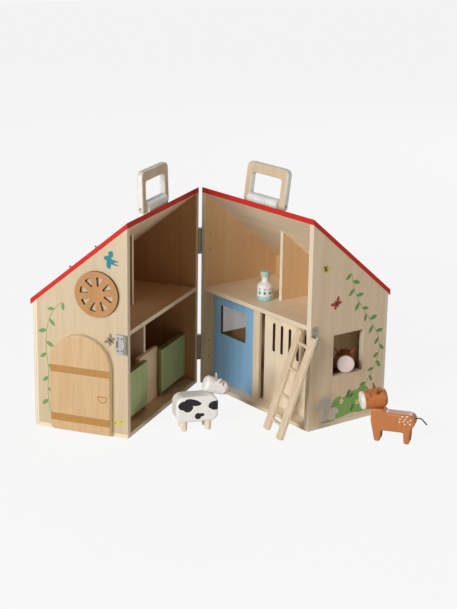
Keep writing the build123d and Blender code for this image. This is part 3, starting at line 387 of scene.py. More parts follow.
# Satin toy paint on turned and shaped wood: even colour with a soft sheen and a trace of brush.
toyPaints = {  # colour, roughness, marks, nodes
    "cowWhitePaint": ("#F8F5F0", 0.38, cowMarks, ["cow_body"]),
    "cowHeadPaint": ("#F8F5F0", 0.38, None, ["cow_head"]),
    "calfBrownPaint": ("#C87C45", 0.38, calfMarks, ["calf_body"]),
    "calfHeadPaint": ("#C6763E", 0.38, None, ["calf_head"]),
    "bottleWhitePaint": ("#F4F3EE", 0.3, bottleMarks, ["milk_bottle"]),
    "muzzlePinkPaint": ("#E9A79C", 0.38, None, ["cow_muzzle"]),
    "palePinkPaint": ("#F0DDD8", 0.38, None, ["brown_cow_muzzle"]),
    "calfEarPaint": ("#8A4B26", 0.38, None, ["calf_ears"]),
    "muzzleWhitePaint": ("#F8F3EA", 0.38, None, ["calf_muzzle"]),
    "cowBrownPaint": ("#8A4A22", 0.38, None, ["brown_cow_body", "brown_cow_head"]),
    "capGreenPaint": ("#B4D2C5", 0.35, None, ["bottle_cap"]),
    "darkCord": ("#3A2018", 0.6, None, ["calf_tail"]),
    "burntMark": ("#2E1D18", 0.55, None, []),
    "cheekRedPaint": ("#A8492B", 0.5, None, []),
}


def toyPaint(name, colour, roughness, marks):
    finish = {"Roughness": roughness, "Coat Weight": 0.06, "Coat Roughness": 0.35}
    material, tree, shader = newMaterial(name, finish)
    coords = addNode(tree, "ShaderNodeTexCoord").outputs["Object"]
    brush = grainPattern(tree, coords, 3.0, "z", 4, Detail=4.0)
    shade = addNode(tree, "ShaderNodeMapRange", {"Value": brush, "To Min": 0.94, "To Max": 1.03})
    base = marks(tree, coords, linear(colour)) if marks else linear(colour)
    colour = addNode(tree, "ShaderNodeMix", {0: 1.0, 6: base, 7: shade}, **multiply)
    finishMaterial(tree, shader, colour, brush, 0.15, 0.1)
    return material


paints = {}
for name, (colour, roughness, marks, paintedNodes) in toyPaints.items():
    paints[name] = toyPaint(name, colour, roughness, marks)
    dress(paints[name], *paintedNodes)

# Nickel plated steel: bright pressed fittings with fine drawing marks, duller where they are handled,
# and chemically blackened on the screws.
steels = {  # colour, roughness, nodes
    "nickelPlate": ("#C9C5BC", 0.28, ["hasp_base", "button_plate", "turn_button"]),
    "agedNickelPlate": ("#8F887C", 0.4, [
        "right_hinge_leaves", "left_hinge_leaves", "hinge_pins", "door_hinge_leaves", "gable_hinge_leaves",
        "door_hinge_pins", "right_handle_pin", "left_handle_pin", "gate_pins", "blue_door_pivots"]),
    "hangingNickel": ("#B9BABA", 0.35, ["hasp_leaf"]),
    "blackenedSteel": ("#4A4641", 0.45, []),
}


def platedSteel(name, colour, roughness):
    material, tree, shader = newMaterial(name, {"Metallic": 1.0, "Roughness": roughness})
    coords = addNode(tree, "ShaderNodeTexCoord").outputs["Object"]
    drawn = grainPattern(tree, coords, 0.5, "z", 8, Detail=3.0)
    shade = addNode(tree, "ShaderNodeMapRange", {"Value": drawn, "To Min": 0.85, "To Max": 1.05})
    colour = addNode(tree, "ShaderNodeMix", {0: 1.0, 6: linear(colour), 7: shade}, **multiply)
    finishMaterial(tree, shader, colour, drawn, 0.1, 0.05)
    return material


metals = {}
for name, (colour, roughness, steelNodes) in steels.items():
    metals[name] = platedSteel(name, colour, roughness)
    dress(metals[name], *steelNodes)
print("materials on", len(nodes), "nodes")


def newObject(name, data):
    made = bpy.data.objects.new(name, data)
    bpy.context.scene.collection.objects.link(made)
    return made


# pieces that the solids leave out
def addPiece(name, mesh, place, body):
    mesh.transform(place)
    if place.determinant() < 0:
        mesh.flip_normals()
    piece = newObject(name, mesh)
    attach(piece, body)


def addSolid(name, bm, material, place, body):
    bmesh.ops.recalc_face_normals(bm, faces=bm.faces)
    mesh = bpy.data.meshes.new(name)
    bm.to_mesh(mesh)
    bm.free()
    mesh.materials.append(material)
    addPiece(name, mesh, place, body)


def plainMesh(name, holder):  # what the holder's curve or graph makes, without the holder
    depsgraph = bpy.context.evaluated_depsgraph_get()
    mesh = bpy.data.meshes.new_from_object(holder.evaluated_get(depsgraph))
    bpy.data.objects.remove(holder)
    mesh.name = name
    return mesh


def newGraph(name, sockets):
    graph = bpy.data.node_groups.new(name, "GeometryNodeTree")
    graph.interface.new_socket("Geometry", in_out="OUTPUT", socket_type="NodeSocketGeometry")
    for label, kind in sockets:
        graph.interface.new_socket(label, in_out="INPUT", socket_type="NodeSocket" + kind)
    return graph, addNode(graph, "NodeGroupInput").outputs


def joinParts(graph, *parts):  # each part with its material
    joined = addNode(graph, "GeometryNodeJoinGeometry")
    for part, material in parts:
        part = addNode(graph, "GeometryNodeSetMaterial", {"Geometry": part, "Material": material})
        graph.links.new(part.outputs[0], joined.inputs[0])
    return joined


def finishGraph(graph, geometry):
    plain = addNode(graph, "GeometryNodeRealizeInstances", {"Geometry": geometry})
    addNode(graph, "NodeGroupOutput", {"Geometry": plain})
    return graph


def runGraph(name, graph, source, values):  # a plain mesh from a graph and its named values
    holder = newObject(name + "Source", source)
    modifier = holder.modifiers.new("graph", "NODES")
    modifier.node_group = graph
    for item in graph.interface.items_tree:
        if item.in_out == "INPUT" and item.name in values:
            modifier[item.identifier] = values[item.name]
    return plainMesh(name, holder)


def pointMesh(name, points, joined=False):
    mesh = bpy.data.meshes.new(name)
    edges = [(i, i + 1) for i in range(len(points) - 1)] if joined else []
    mesh.from_pydata([(*point, 0)[:3] for point in points], edges, [])
    return mesh


def bladeSolid(graph, length, width, thickness, taper):  # a thin closed leaf from its root at the origin
    disc = {"Vertices": 14, "Radius": 1.0, "Depth": thickness}
    disc = addNode(graph, "GeometryNodeMeshCylinder", disc)
    place = addNode(graph, "GeometryNodeInputPosition")
    at = addNode(graph, "ShaderNodeSeparateXYZ", {"Vector": place}).outputs
    half = addNode(graph, "ShaderNodeMath", {0: length, 1: 2.0}, operation="DIVIDE")
    run = addNode(graph, "ShaderNodeMath", {0: at["X"], 1: half, 2: half}, operation="MULTIPLY_ADD")
    square = addNode(graph, "ShaderNodeMath", {0: at["X"], 1: at["X"]}, operation="MULTIPLY")
    narrow = addNode(graph, "ShaderNodeMath", {0: square, 1: -taper, 2: 1.0}, operation="MULTIPLY_ADD")
    half = addNode(graph, "ShaderNodeMath", {0: width, 1: 2.0}, operation="DIVIDE")
    reach = addNode(graph, "ShaderNodeMath", {0: half, 1: narrow}, operation="MULTIPLY")
    side = addNode(graph, "ShaderNodeMath", {0: at["Y"], 1: reach}, operation="MULTIPLY")
    place = addNode(graph, "ShaderNodeCombineXYZ", {"X": run, "Y": side, "Z": at["Z"]})
    return addNode(graph, "GeometryNodeSetPosition", {"Geometry": disc, "Position": place})


def vineGraph():  # a printed stem with leaves set left and right of it
    graph, given = newGraph("printedVine", [
        ("Stem", "Geometry"), ("Spacing", "Float"), ("Leaf Length", "Float"), ("Leaf Width", "Float"),
        ("Leaf Angle", "Float"), ("Size Spread", "Float"), ("Stem Width", "Float"), ("Thickness", "Float"),
        ("Seed", "Int"), ("Leaf Ink", "Material"), ("Stem Ink", "Material")])
    curve = addNode(graph, "GeometryNodeMeshToCurve", {"Mesh": given["Stem"]})
    curve = addNode(graph, "GeometryNodeCurveSplineType", {"Curve": curve}, spline_type="CATMULL_ROM")
    curve = addNode(graph, "GeometryNodeSetCurveNormal", {"Curve": curve}, mode="Z_UP")
    spots = {"Curve": curve, "Length": given["Spacing"]}
    spots = addNode(graph, "GeometryNodeCurveToPoints", spots, mode="LENGTH").outputs
    index = addNode(graph, "GeometryNodeInputIndex")
    side = addNode(graph, "ShaderNodeMath", {0: index, 1: 2.0}, operation="MODULO")
    side = addNode(graph, "ShaderNodeMath", {0: side, 1: 2.0, 2: -1.0}, operation="MULTIPLY_ADD")
    # 2, 3 and 8 are the least, the most and the seed of a random number
    jitter = addNode(graph, "FunctionNodeRandomValue", {2: 0.75, 3: 1.25, 8: given["Seed"]})
    angle = addNode(graph, "ShaderNodeMath", {0: given["Leaf Angle"], 1: jitter}, operation="MULTIPLY")
    lean = addNode(graph, "ShaderNodeMath", {0: side, 1: angle}, operation="MULTIPLY")
    along = {"Vector": spots["Tangent"]}
    along = addNode(graph, "FunctionNodeAlignRotationToVector", along, axis="X", pivot_axis="Z")
    turned = {"Rotation": along, "Rotate By": addNode(graph, "ShaderNodeCombineXYZ", {"Z": lean})}
    turned = addNode(graph, "FunctionNodeRotateRotation", turned, rotation_space="LOCAL")
    least, most = [addNode(graph, "ShaderNodeMath", {0: 1.0, 1: given["Size Spread"]}, operation=change)
                   for change in ("SUBTRACT", "ADD")]
    seed = addNode(graph, "ShaderNodeMath", {0: given["Seed"], 1: 7.0}, operation="ADD")
    size = addNode(graph, "FunctionNodeRandomValue", {2: least, 3: most, 8: seed})
    flat = addNode(graph, "ShaderNodeCombineXYZ", {"X": size, "Y": size, "Z": 1.0})
    leaf = bladeSolid(graph, given["Leaf Length"], given["Leaf Width"], given["Thickness"], 0.55)
    leaves = {"Points": spots["Points"], "Instance": leaf, "Rotation": turned, "Scale": flat}
    leaves = addNode(graph, "GeometryNodeInstanceOnPoints", leaves)
    band = {"Width": given["Stem Width"], "Height": given["Thickness"]}
    band = addNode(graph, "GeometryNodeCurvePrimitiveQuadrilateral", band)
    stem = {"Curve": curve, "Profile Curve": band, "Fill Caps": True}
    stem = addNode(graph, "GeometryNodeCurveToMesh", stem)
    return finishGraph(graph, joinParts(graph, (leaves, given["Leaf Ink"]), (stem, given["Stem Ink"])))


def flowerGraph():  # petals round an eye at every point
    graph, given = newGraph("printedFlower", [
        ("Points", "Geometry"), ("Petals", "Int"), ("Petal Length", "Float"), ("Petal Width", "Float"),
        ("Eye Radius", "Float"), ("Thickness", "Float"), ("Petal Ink", "Material"), ("Eye Ink", "Material")])
    petal = bladeSolid(graph, given["Petal Length"], given["Petal Width"], given["Thickness"], 0.2)
    ring = {"Vertices": given["Petals"], "Radius": given["Eye Radius"]}
    ring = addNode(graph, "GeometryNodeMeshCircle", ring)
    outward = {"Vector": addNode(graph, "GeometryNodeInputPosition")}
    outward = addNode(graph, "FunctionNodeAlignRotationToVector", outward, axis="X", pivot_axis="Z")
    petals = {"Points": ring, "Instance": petal, "Rotation": outward}
    petals = addNode(graph, "GeometryNodeInstanceOnPoints", petals)
    radius = addNode(graph, "ShaderNodeMath", {0: given["Eye Radius"], 1: 1.5}, operation="MULTIPLY")
    depth = addNode(graph, "ShaderNodeMath", {0: given["Thickness"], 1: 1.6}, operation="MULTIPLY")
    eye = addNode(graph, "GeometryNodeMeshCylinder", {"Vertices": 14, "Radius": radius, "Depth": depth})
    whole = joinParts(graph, (petals, given["Petal Ink"]), (eye, given["Eye Ink"]))
    flowers = {"Points": given["Points"], "Instance": whole}
    return finishGraph(graph, addNode(graph, "GeometryNodeInstanceOnPoints", flowers))


cross = {"length": 1.15, "width": 0.28, "lift": 0.52}  # the first two by the radius, the lift by the rise


def screwGraph():  # low crowned heads with a cross recess, heads along z
    graph, given = newGraph("screwHeads", [
        ("Points", "Geometry"), ("Radius", "Float"), ("Rise", "Float"), ("Head", "Material"),
        ("Recess", "Material")])
    head = {"Vertices": 18, "Fill Segments": 3, "Radius": given["Radius"], "Depth": given["Rise"]}
    head = addNode(graph, "GeometryNodeMeshCylinder", head)
    place = addNode(graph, "GeometryNodeInputPosition")
    at = addNode(graph, "ShaderNodeSeparateXYZ", {"Vector": place}).outputs
    flat = addNode(graph, "ShaderNodeCombineXYZ", {"X": at["X"], "Y": at["Y"]})
    reach = addNode(graph, "ShaderNodeVectorMath", {0: flat}, operation="LENGTH")
    share = addNode(graph, "ShaderNodeMath", {0: reach, 1: given["Radius"]}, operation="DIVIDE")
    share = addNode(graph, "ShaderNodeMath", {0: share, 1: 2.0}, operation="POWER")
    share = addNode(graph, "ShaderNodeMath", {0: 1.0, 1: share}, operation="SUBTRACT")
    half = addNode(graph, "ShaderNodeMath", {0: given["Rise"], 1: 0.5}, operation="MULTIPLY")
    crown = addNode(graph, "ShaderNodeMath", {0: share, 1: half}, operation="MULTIPLY")
    upper = addNode(graph, "ShaderNodeMath", {0: at["Z"], 1: 0.0}, operation="GREATER_THAN")
    crown = addNode(graph, "ShaderNodeMath", {0: crown, 1: upper}, operation="MULTIPLY")
    lift = addNode(graph, "ShaderNodeCombineXYZ", {"Z": crown})
    head = addNode(graph, "GeometryNodeSetPosition", {"Geometry": head, "Offset": lift})
    length, width, above = [
        addNode(graph, "ShaderNodeMath", {0: given[whole], 1: cross[share]}, operation="MULTIPLY")
        for whole, share in (("Radius", "length"), ("Radius", "width"), ("Rise", "lift"))]
    lift = addNode(graph, "ShaderNodeCombineXYZ", {"Z": above})
    parts = [(head, given["Head"])]
    for long, short in (("X", "Y"), ("Y", "X")):
        size = addNode(graph, "ShaderNodeCombineXYZ", {long: length, short: width, "Z": given["Rise"]})
        bar = addNode(graph, "GeometryNodeMeshCube", {"Size": size})
        bar = addNode(graph, "GeometryNodeSetPosition", {"Geometry": bar, "Offset": lift})
        parts.append((bar, given["Recess"]))
    screws = {"Points": given["Points"], "Instance": joinParts(graph, *parts)}
    return finishGraph(graph, addNode(graph, "GeometryNodeInstanceOnPoints", screws))


# Screen printed ink: matt, slightly uneven colour, with the wood grain faintly through it.
inkColours = {
    "leafGreen": "#6F9A55", "oliveGreen": "#8A9A58", "stemGreen": "#84A465", "bushGreen": "#86AE5C",
    "darkLeaf": "#4C7748", "daisyCream": "#EFE6C4", "sunYellow": "#DCC64F", "inkBlack": "#3A332C",
    "berryRed": "#B23A35", "stoneGrey": "#D0CCBE", "tealBlue": "#23808C", "mothBrown": "#8F7E62",
    "tanPrint": "#B27F3C",
}
inkFilm = {"sunk": 0.03, "rise": 0.05, "layer": 0.05}  # mm


def printInk(name, colour):
    material, tree, shader = newMaterial(name, {"Roughness": 0.6})
    coords = addNode(tree, "ShaderNodeTexCoord").outputs["Object"]
    mottle = grainPattern(tree, coords, 1.6, "z", 3, Detail=4.0, Roughness=0.65)
    shade = addNode(tree, "ShaderNodeMapRange", {
        "Value": mottle, "From Min": 0.3, "From Max": 0.7, "To Min": 0.84, "To Max": 1.1})
    colour = addNode(tree, "ShaderNodeMix", {0: 1.0, 6: linear(colour), 7: shade}, **multiply)
    finishMaterial(tree, shader, colour, mottle, 0.15, 0.04)
    return material


inks = {name: printInk(name + "Ink", colour) for name, colour in inkColours.items()}


def oval(d, z, length, width, turn=0.0, count=26):
    c, s = cos(radians(turn)), sin(radians(turn))
    ring = [(length / 2 * cos(tau * i / count), width / 2 * sin(tau * i / count)) for i in range(count)]
    return [(d + x * c - y * s, z + x * s + y * c) for x, y in ring]


def softLoop(points, steps=6):  # closed smooth outline through a few points
    loop = []
    for i in range(len(points)):
        p0, p1, p2, p3 = [Vector(points[(i + k) % len(points)]) for k in (-1, 0, 1, 2)]
        for step in range(steps):
            t = step / steps
            square = (2 * p0 - 5 * p1 + 4 * p2 - p3) * t * t
            cube = (3 * p1 - p0 - 3 * p2 + p3) * t ** 3
            loop.append(tuple(0.5 * (2 * p1 + (p2 - p0) * t + square + cube)))
    return loop


wingPairs = ((35, 0.52), (-28, 0.42))  # fore and hind: angle, and length as a share of the span


def butterfly(d, z, span, turn):
    wings = []
    for side in (-1, 1):
        for angle, share in wingPairs:
            way = radians(turn + side * (90 - angle))
            length = span * share
            middle = (d + length / 2 * cos(way), z + length / 2 * sin(way))
            wings.append(oval(*middle, length, span * 0.24, degrees(way)))
    return wings


def addInk(name, side, outlines, ink, layer=1, body=None, base=0.0):  # thin closed plates on a gable
    bm = bmesh.new()
    for outline in outlines:
        low = [bm.verts.new((d, z, base - inkFilm["sunk"])) for d, z in outline]
        top = base + inkFilm["rise"] + inkFilm["layer"] * layer
        high = [bm.verts.new((d, z, top)) for d, z in outline]
        bm.faces.new(low)
        bm.faces.new(high)
        for i in range(len(outline)):
            j = (i + 1) % len(outline)
            bm.faces.new((low[i], low[j], high[j], high[i]))
    addSolid(name, bm, inks[ink], halves[side] @ planes["outerGable"], body or f"{side}_half")


# climbing vines, with the stems as (d, z) on the gable
vine = vineGraph()
vineLook = {
    "Leaf Length": 12.5, "Leaf Width": 5.6, "Leaf Angle": 0.95, "Size Spread": 0.18,
    "Stem Width": 0.8, "Thickness": 0.22, "Leaf Ink": inks["leafGreen"], "Stem Ink": inks["stemGreen"],
}
vines = {
    "right": {"Seed": 3, "Spacing": 11.0, "stem": [
        (70, 216), (77, 190), (92, 164), (110, 140), (126, 112), (124, 84), (110, 60), (97, 43)]},
    "left": {"Seed": 11, "Spacing": 15.5, "stem": [
        (95, 182), (106, 174), (118, 150), (121.5, 118), (118.5, 84), (120, 52), (117, 24)]},
}
for side, plant in vines.items():
    stem = pointMesh("stem", plant["stem"], True)
    mesh = runGraph(f"vinePrint_{side}", vine, stem, dict(vineLook, **plant))
    addPiece(f"vinePrint_{side}", mesh, halves[side] @ planes["outerGable"], f"{side}_half")

# a bush, two toadstools and a strip of grass on the right gable
meadow = {
    "bush": [(40, 19), (44, 35), (54, 41), (64, 38), (74, 44), (88, 45), (98, 50), (108, 44), (113, 30),
             (112, 14), (98, 10), (78, 12), (60, 9), (46, 10)],
    "leaves": [(72, 42, 13, 5, 62), (77, 38, 10, 4.4, 25), (80, 19, 12, 4.6, 60), (97, 35, 11, 4.4, 110)],
    "caps": [[(15, 30), (18, 39), (28, 45), (38, 40), (43, 31), (29, 27)],
             [(37, 18), (41, 25), (47, 27), (53, 23), (55, 18), (46, 16)]],
    "stalks": [[(24, 8), (25, 20), (26, 31), (32, 31), (33, 20), (35, 8)],
               [(42, 8), (43, 20), (48, 20), (49, 8)]],
    "grass": (34, 8.2, 28, 2.0, -3),
}
addInk("bushPrint", "right", [softLoop(meadow["bush"])], "bushGreen")
addInk("bushLeafPrint", "right", [oval(*leaf) for leaf in meadow["leaves"]], "darkLeaf", 2)
addInk("toadstoolCapPrint", "right", [softLoop(cap) for cap in meadow["caps"]], "stoneGrey", 2)
addInk("toadstoolStalkPrint", "right", [softLoop(stalk) for stalk in meadow["stalks"]], "stoneGrey", 3)
addInk("footPrint", "right", [oval(*meadow["grass"])], "bushGreen", 4)

# daisies on the bush and buttercups by the arched door
flower = flowerGraph()
flowers = {  # side, slot, places, petal length and width, inks of petals and eye
    "daisyPrint": ("right", "white", [(60, 33), (90, 26), (104, 38)], 3.3, 2.4, "daisyCream", "sunYellow"),
    "buttercupPrint": ("left", "birch_ply", [(18.5, 21), (9.5, 23.5)], 3.6, 3.0, "sunYellow", "oliveGreen"),
}
for name, (side, slot, spots, length, width, petal, eye) in flowers.items():
    look = {"Petals": 5, "Petal Length": length, "Petal Width": width, "Eye Radius": 0.9, "Thickness": 0.4,
            "Petal Ink": inks[petal], "Eye Ink": inks[eye]}
    mesh = runGraph(name, flower, pointMesh("spots", spots), look)
    addPiece(name, mesh, halves[side] @ planes["outerGable"], f"{side}_half")

# two butterflies, a moth and a bird
insects = {  # side, ink, wings (d, z, span, turn), ovals of the body
    "yellow": ("right", "sunYellow", (23, 229, 17, 62), [
        (23, 229, 10, 2.4, 62), (20.5, 231.5, 4.5, 1.5, 152), (25, 227, 4.5, 1.5, 152)]),
    "red": ("right", "berryRed", (45, 177, 21, 128), [(45, 177, 13, 2.2, 128)]),
    "moth": ("left", "mothBrown", (25, 137, 19, 35), [(25, 137, 13, 2, 35)]),
}
bird = [  # body and two wings
    [(34, 250), (30, 253.5), (25, 252), (21, 249), (12, 246.5), (19, 244.5), (11.5, 241), (22, 242),
     (28, 245)],
    [(26, 251), (27, 258.5), (21.5, 260), (20.5, 253)],
    [(29, 246), (30, 239), (25, 236), (23.5, 243)],
]


def addInsect(name):
    side, ink, wings, body = insects[name]
    addInk(f"{name}WingPrint", side, butterfly(*wings), ink)
    addInk(f"{name}BodyPrint", side, [oval(*part) for part in body], "inkBlack", 2)


addInsect("yellow")
addInsect("red")
addInk("tealBirdPrint", "left", [softLoop(outline) for outline in bird], "tealBlue")
addInsect("moth")

# D-shaped pull, printed in outline on the arched door, whose face stands out from the gable's plane
pull = {"middle": 34.0, "top": 58.5, "radius": 7.6, "line": 1.5, "long": 1.25, "out": 8.5, "steps": 16}


def pullArc(top, across, down):
    angles = [pi + pi * i / pull["steps"] for i in range(pull["steps"] + 1)]
    return [(pull["middle"] + across * cos(angle), top + down * sin(angle)) for angle in angles]


outer = pullArc(pull["top"], pull["radius"], pull["long"] * pull["radius"])
inner = pullArc(pull["top"] - pull["line"], pull["radius"] - pull["line"],
                pull["long"] * (pull["radius"] - 1.6 * pull["line"]))
strips = [[outer[i], outer[i + 1], inner[i + 1], inner[i]] for i in range(pull["steps"])]
strips.append([outer[0], inner[0], inner[-1], outer[-1]])
addInk("doorPullPrint", "left", strips, "tanPrint", 1, "arched_door", pull["out"])
print("prints added")

# screws and rivets, at (d, z) on their plane
screw = screwGraph()
hinges = {"heights": (55.2, 219.0), "screws": 11.8, "screwStep": 13, "tips": 9.0, "tipStep": 12}
hingeScrews = [(hinges["screws"], z + k * hinges["screwStep"]) for z in hinges["heights"] for k in (-1, 0, 1)]
hingeTips = [(hinges["tips"], z + k * hinges["tipStep"]) for z in hinges["heights"] for k in (-1, 1)]
rivets = [(d, z) for z in (124.8, 142.2) for d in (7.4, 12.6)]
screwSets = [  # name, side, body, plane, lift, places, radius, rise, head, recess
    ("buttonPlateScrews", "right", "right_half", "outerGable", boards["fitting"],
     [(7.3, 121.0), (7.3, 146.0)], 2.1, 0.3, "nickelPlate", "blackenedSteel"),
    ("haspScrews", "left", "left_half", "outerGable", boards["fitting"],
     [(9.5, 123.5), (9.5, 143.5)], 1.9, 0.16, "blackenedSteel", "nickelPlate"),
    ("haspRivets", "left", "hasp", "outerGable", 3.2,
     rivets, 1.2, 0.16, "blackenedSteel", "blackenedSteel"),
]
screwSets += [(f"hingeScrews_{side}", side, f"{side}_half", "hingeLeaf", 0.0,
               hingeScrews, 2.2, 0.3, "agedNickelPlate", "blackenedSteel") for side in halves]
screwSets += [(f"screwTips_{side}", side, f"{side}_half", "hingeGableInside", 0.0,
               hingeTips, 0.9, 0.5, "blackenedSteel", "blackenedSteel") for side in halves]
for name, side, body, plane, lift, places, radius, rise, head, recess in screwSets:
    look = {"Radius": radius, "Rise": rise, "Head": metals[head], "Recess": metals[recess]}
    mesh = runGraph(name, screw, pointMesh("spots", [(d, z, lift) for d, z in places]), look)
    addPiece(name, mesh, halves[side] @ planes[plane], body)


def turnedPiece(name, profile, sides, place, body, material):  # closed, turned about z
    bm = bmesh.new()
    turns = [tau * i / sides for i in range(sides)]
    rings = []
    for radius, z in profile:
        ring = [(radius * cos(turn), radius * sin(turn), z) for turn in turns] if radius else [(0, 0, z)]
        rings.append([bm.verts.new(corner) for corner in ring])
    for low, high in zip(rings, rings[1:]):
        for i in range(sides):
            j = i + 1
            corners = [low[i % len(low)], low[j % len(low)], high[j % len(high)], high[i % len(high)]]
            face = list(dict.fromkeys(corners))
            if len(face) > 2:
                bm.faces.new(face).smooth = True
    addSolid(name, bm, material, place, body)


# brads that fix the roof to the left gable, and pale dowels under the handle blocks
roof = {"ridge": 300.0, "pitch": radians(39.4)}
brads = {"profile": [(0, -1.5), (0.7, -1.5), (0.7, 1.2), (1.5, 1.5), (1.5, 2.2), (0.9, 2.8), (0, 2.9)],
         "u": 247.5, "d": (47.0, 85.0)}
dowels = {"profile": [(0, -0.5), (2.6, -0.5), (2.6, 0.25), (2.2, 0.4), (0, 0.4)],
          "u": (112.6, 140.9), "d": 13.0}


def onRoof(u, d, depth, tilt):  # depth is measured square to the roof's top
    height = roof["ridge"] - depth / cos(roof["pitch"]) - d * tan(roof["pitch"])
    return Matrix.Translation((u, d, height)) @ Matrix.Rotation(tilt, 4, "X")


for index, d in enumerate(brads["d"]):
    place = leftHalf @ onRoof(brads["u"], d, 0.0, -roof["pitch"])
    turnedPiece(f"roofBrad_{index + 1}", brads["profile"], 12, place, "left_half",
                metals["blackenedSteel"])
paleWood = beech("dowelBeech", "#F3E8D2", "#E8D6B8")
for side in halves:
    for index, u in enumerate(dowels["u"]):
        place = halves[side] @ onRoof(u, dowels["d"], boards["roof"], pi - roof["pitch"])
        turnedPiece(f"ceilingDowel_{side}_{index + 1}", dowels["profile"], 20, place, f"{side}_half",
                    paleWood)

# round cap on the turn button's stem
buttonCap = {"profile": [(0, 0), (2.6, 0), (2.9, 0.25), (2.9, 0.7), (2.2, 1.1), (0, 1.25)],
             "place": (boards["length"] + 5.5, 7.0, 133.5)}
place = rightHalf @ Matrix.Translation(buttonCap["place"]) @ Matrix.Rotation(pi / 2, 4, "Y")
turnedPiece("buttonCap", buttonCap["profile"], 24, place, "turn_button",
            metals["nickelPlate"])


def faceStroke(name, animal, width, paint, strokes):  # fine raised strokes round a turned head
    look = animals[animal]
    back, front = look["radii"]
    curve = bpy.data.curves.new(name, "CURVE")
    curve.dimensions = "3D"
    curve.bevel_depth = width
    curve.bevel_resolution = 2
    curve.use_fill_caps = True
    for stroke in strokes:
        spline = curve.splines.new("POLY")
        spline.points.add(len(stroke) - 1)
        for point, (along, angle) in zip(spline.points, stroke):
            radius = back + (front - back) * (along / look["length"] + 0.5)
            point.co = (along, radius * sin(radians(angle)), radius * cos(radians(angle)), 1)
    mesh = plainMesh(name, newObject(name + "Source", curve))
    mesh.materials.clear()
    mesh.materials.append(paints[paint])
    addPiece(name, mesh, headPlace(animal), animal)


def lid(along, angle, size):  # a closed eye: a shallow bow that opens to the back
    return [(along + size * 0.25 * (1 - (k / 3) ** 2), angle + size * 2.6 * k) for k in range(-3, 4)]


# each stroke is a row of (along, angle) on the head, the angle from its top in degrees
freckles = [[(a, b), (a + 0.4, b)] for a in (9.5, 11.5) for b in (72, -72)]
cheeks = [[(a, b - 7), (a, b), (a, b + 7)] for a in (10.0, 11.2) for b in (68, -68)]
faceStroke("cowEyes", "cow", 0.45, "burntMark", [lid(7.5, 52, 1.6), lid(7.5, -52, 1.6)])
faceStroke("calfEyes", "calf", 0.5, "burntMark", [lid(5.0, 48, 1.9), lid(5.0, -48, 1.9)])
faceStroke("cowFreckles", "cow", 0.45, "burntMark", freckles)
faceStroke("calfCheeks", "calf", 0.5, "cheekRedPaint", cheeks)

# Pane in the right hinge gable, behind the blue door: a cloudy pale sheet that glows with painted light, with
# no lamp behind it.
pane = {
    "middle": (65.0, 103.5, 0.1), "size": (62.0, 56.0, 0.8), "bevel": 0.25, "cloud": 2.5,
    "clear": "#F2F4F4", "milky": "#FBFBF8", "paintedGlow": "#E8EAEC", "strength": 0.22,
}


def addPane():
    # the emission is painted light: the pane glows though no lamp lies behind it
    material, tree, shader = newMaterial("glowingPane", {
        "Roughness": 0.7, "Emission Color": linear(pane["paintedGlow"]), "Emission Strength": pane["strength"]})
    coords = addNode(tree, "ShaderNodeTexCoord").outputs["Object"]
    haze = grainPattern(tree, coords, pane["cloud"], "z", 1, Detail=4.0)
    colour = {0: haze, 6: linear(pane["clear"]), 7: linear(pane["milky"])}
    colour = addNode(tree, "ShaderNodeMix", colour, **blend)
    tree.links.new(colour.outputs[2], shader.inputs["Base Color"])
    bm = bmesh.new()
    bmesh.ops.create_cube(bm, size=1.0)
    bmesh.ops.scale(bm, vec=pane["size"], verts=bm.verts)
    bmesh.ops.translate(bm, vec=pane["middle"], verts=bm.verts)
    bmesh.ops.bevel(bm, geom=bm.edges[:], offset=pane["bevel"], segments=2, affect="EDGES")
    addSolid("gablePane", bm, material, rightHalf @ planes["hingeGableInside"], "right_half")


addPane()
print("fittings and faces added")

view = {  # m and degrees, with the focal length in pixels of the frame
    "place": (1.58466, -1.31538, 0.74039), "heading": 142.846, "pitch": -16.275, "roll": 0.878,
    "focal": 1482.7, "frame": (457, 609),
}


def addCamera():
    data = bpy.data.cameras.new("camera")
    data.sensor_fit = "VERTICAL"
    data.sensor_height = 24
    data.lens = view["focal"] * data.sensor_height / view["frame"][1]
    data.clip_end = 20
    camera = newObject("camera", data)
    turn = Matrix.Rotation(radians(view["heading"] - 90), 4, "Z")
    tilt = Matrix.Rotation(radians(90 + view["pitch"]), 4, "X")
    roll = Matrix.Rotation(radians(view["roll"]), 4, "Z")
    camera.matrix_world = Matrix.Translation(view["place"]) @ turn @ tilt @ roll
    bpy.context.scene.camera = camera


studio = {
    "paper": "#F5F5F5", "sky": "#F4F2EE", "skyStrength": 0.05,
    "floor": "#F2F0EC", "floorPaper": "#FDFDFD", "paperShare": 0.9, "aim": (0, -0.1, 0.12),
}
lamps = {  # place and size in m, power in W
    "keyLamp": ((0.96, -2.46, 1.31), 0.8, 35), "fillLamp": ((0.5, -2.85, 0.5), 0.8, 27),
    "rightLamp": ((2.42, 1.0, 0.95), 0.6, 13), "backLamp": ((-1.3, 2.2, 1.4), 1.0, 14),
}


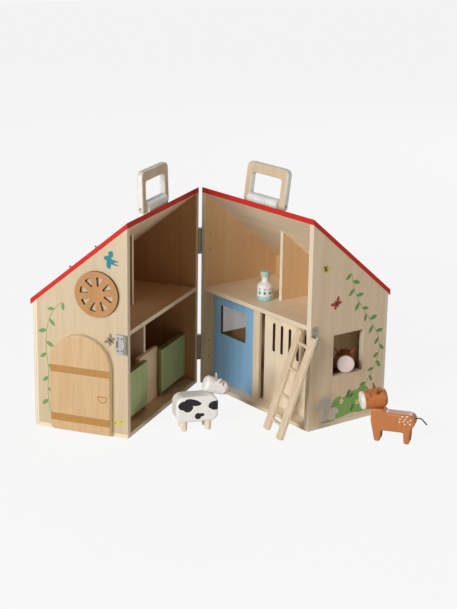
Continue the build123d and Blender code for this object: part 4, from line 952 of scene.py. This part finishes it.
def addLamp(name, place, size, power):
    data = bpy.data.lights.new(name, "AREA")
    data.shape = "DISK"
    data.size = size
    data.energy = power
    lamp = newObject(name, data)
    lamp.location = place
    lamp.rotation_euler = (Vector(studio["aim"]) - Vector(place)).to_track_quat("-Z", "Y").to_euler()


def addWorld():  # dim light all round, and bright paper where the camera or a shiny face sees it
    world = bpy.data.worlds.new("studio")
    world.use_nodes = True
    tree = world.node_tree
    tree.nodes.clear()
    rays = addNode(tree, "ShaderNodeLightPath").outputs
    seen = rays["Is Camera Ray"]
    for kind in ("Is Glossy Ray", "Is Transmission Ray"):
        seen = addNode(tree, "ShaderNodeMath", {0: seen, 1: rays[kind]}, operation="MAXIMUM")
    dim = {"Color": linear(studio["sky"]), "Strength": studio["skyStrength"]}
    dim = addNode(tree, "ShaderNodeBackground", dim)
    bright = addNode(tree, "ShaderNodeBackground", {"Color": linear(studio["paper"]), "Strength": 1.0})
    mix = addNode(tree, "ShaderNodeMixShader", {0: seen, 1: dim, 2: bright})
    addNode(tree, "ShaderNodeOutputWorld", {"Surface": mix})
    bpy.context.scene.world = world


def addFloor():  # shows mostly as bright paper, with a soft shadow left on it
    mesh = bpy.data.meshes.new("floor")
    mesh.from_pydata([(-6, -6, 0), (6, -6, 0), (6, 6, 0), (-6, 6, 0)], [], [(0, 1, 2, 3)])
    floor = newObject("floor", mesh)
    finish = {"Base Color": linear(studio["floor"]), "Roughness": 0.9}
    material, tree, shader = newMaterial("paperFloor", finish)
    seen = addNode(tree, "ShaderNodeLightPath").outputs["Is Camera Ray"]
    glow = addNode(tree, "ShaderNodeEmission", {"Color": linear(studio["floorPaper"])})
    share = addNode(tree, "ShaderNodeMath", {0: seen, 1: studio["paperShare"]}, operation="MULTIPLY")
    mix = addNode(tree, "ShaderNodeMixShader", {0: share, 1: shader, 2: glow})
    output = next(node for node in tree.nodes if node.type == "OUTPUT_MATERIAL")
    tree.links.new(mix.outputs[0], output.inputs["Surface"])
    mesh.materials.append(material)


addCamera()
addWorld()
addFloor()
for name, (place, size, power) in lamps.items():
    addLamp(name, place, size, power)
bpy.context.scene.view_settings.view_transform = "Standard"
print("camera and light set")
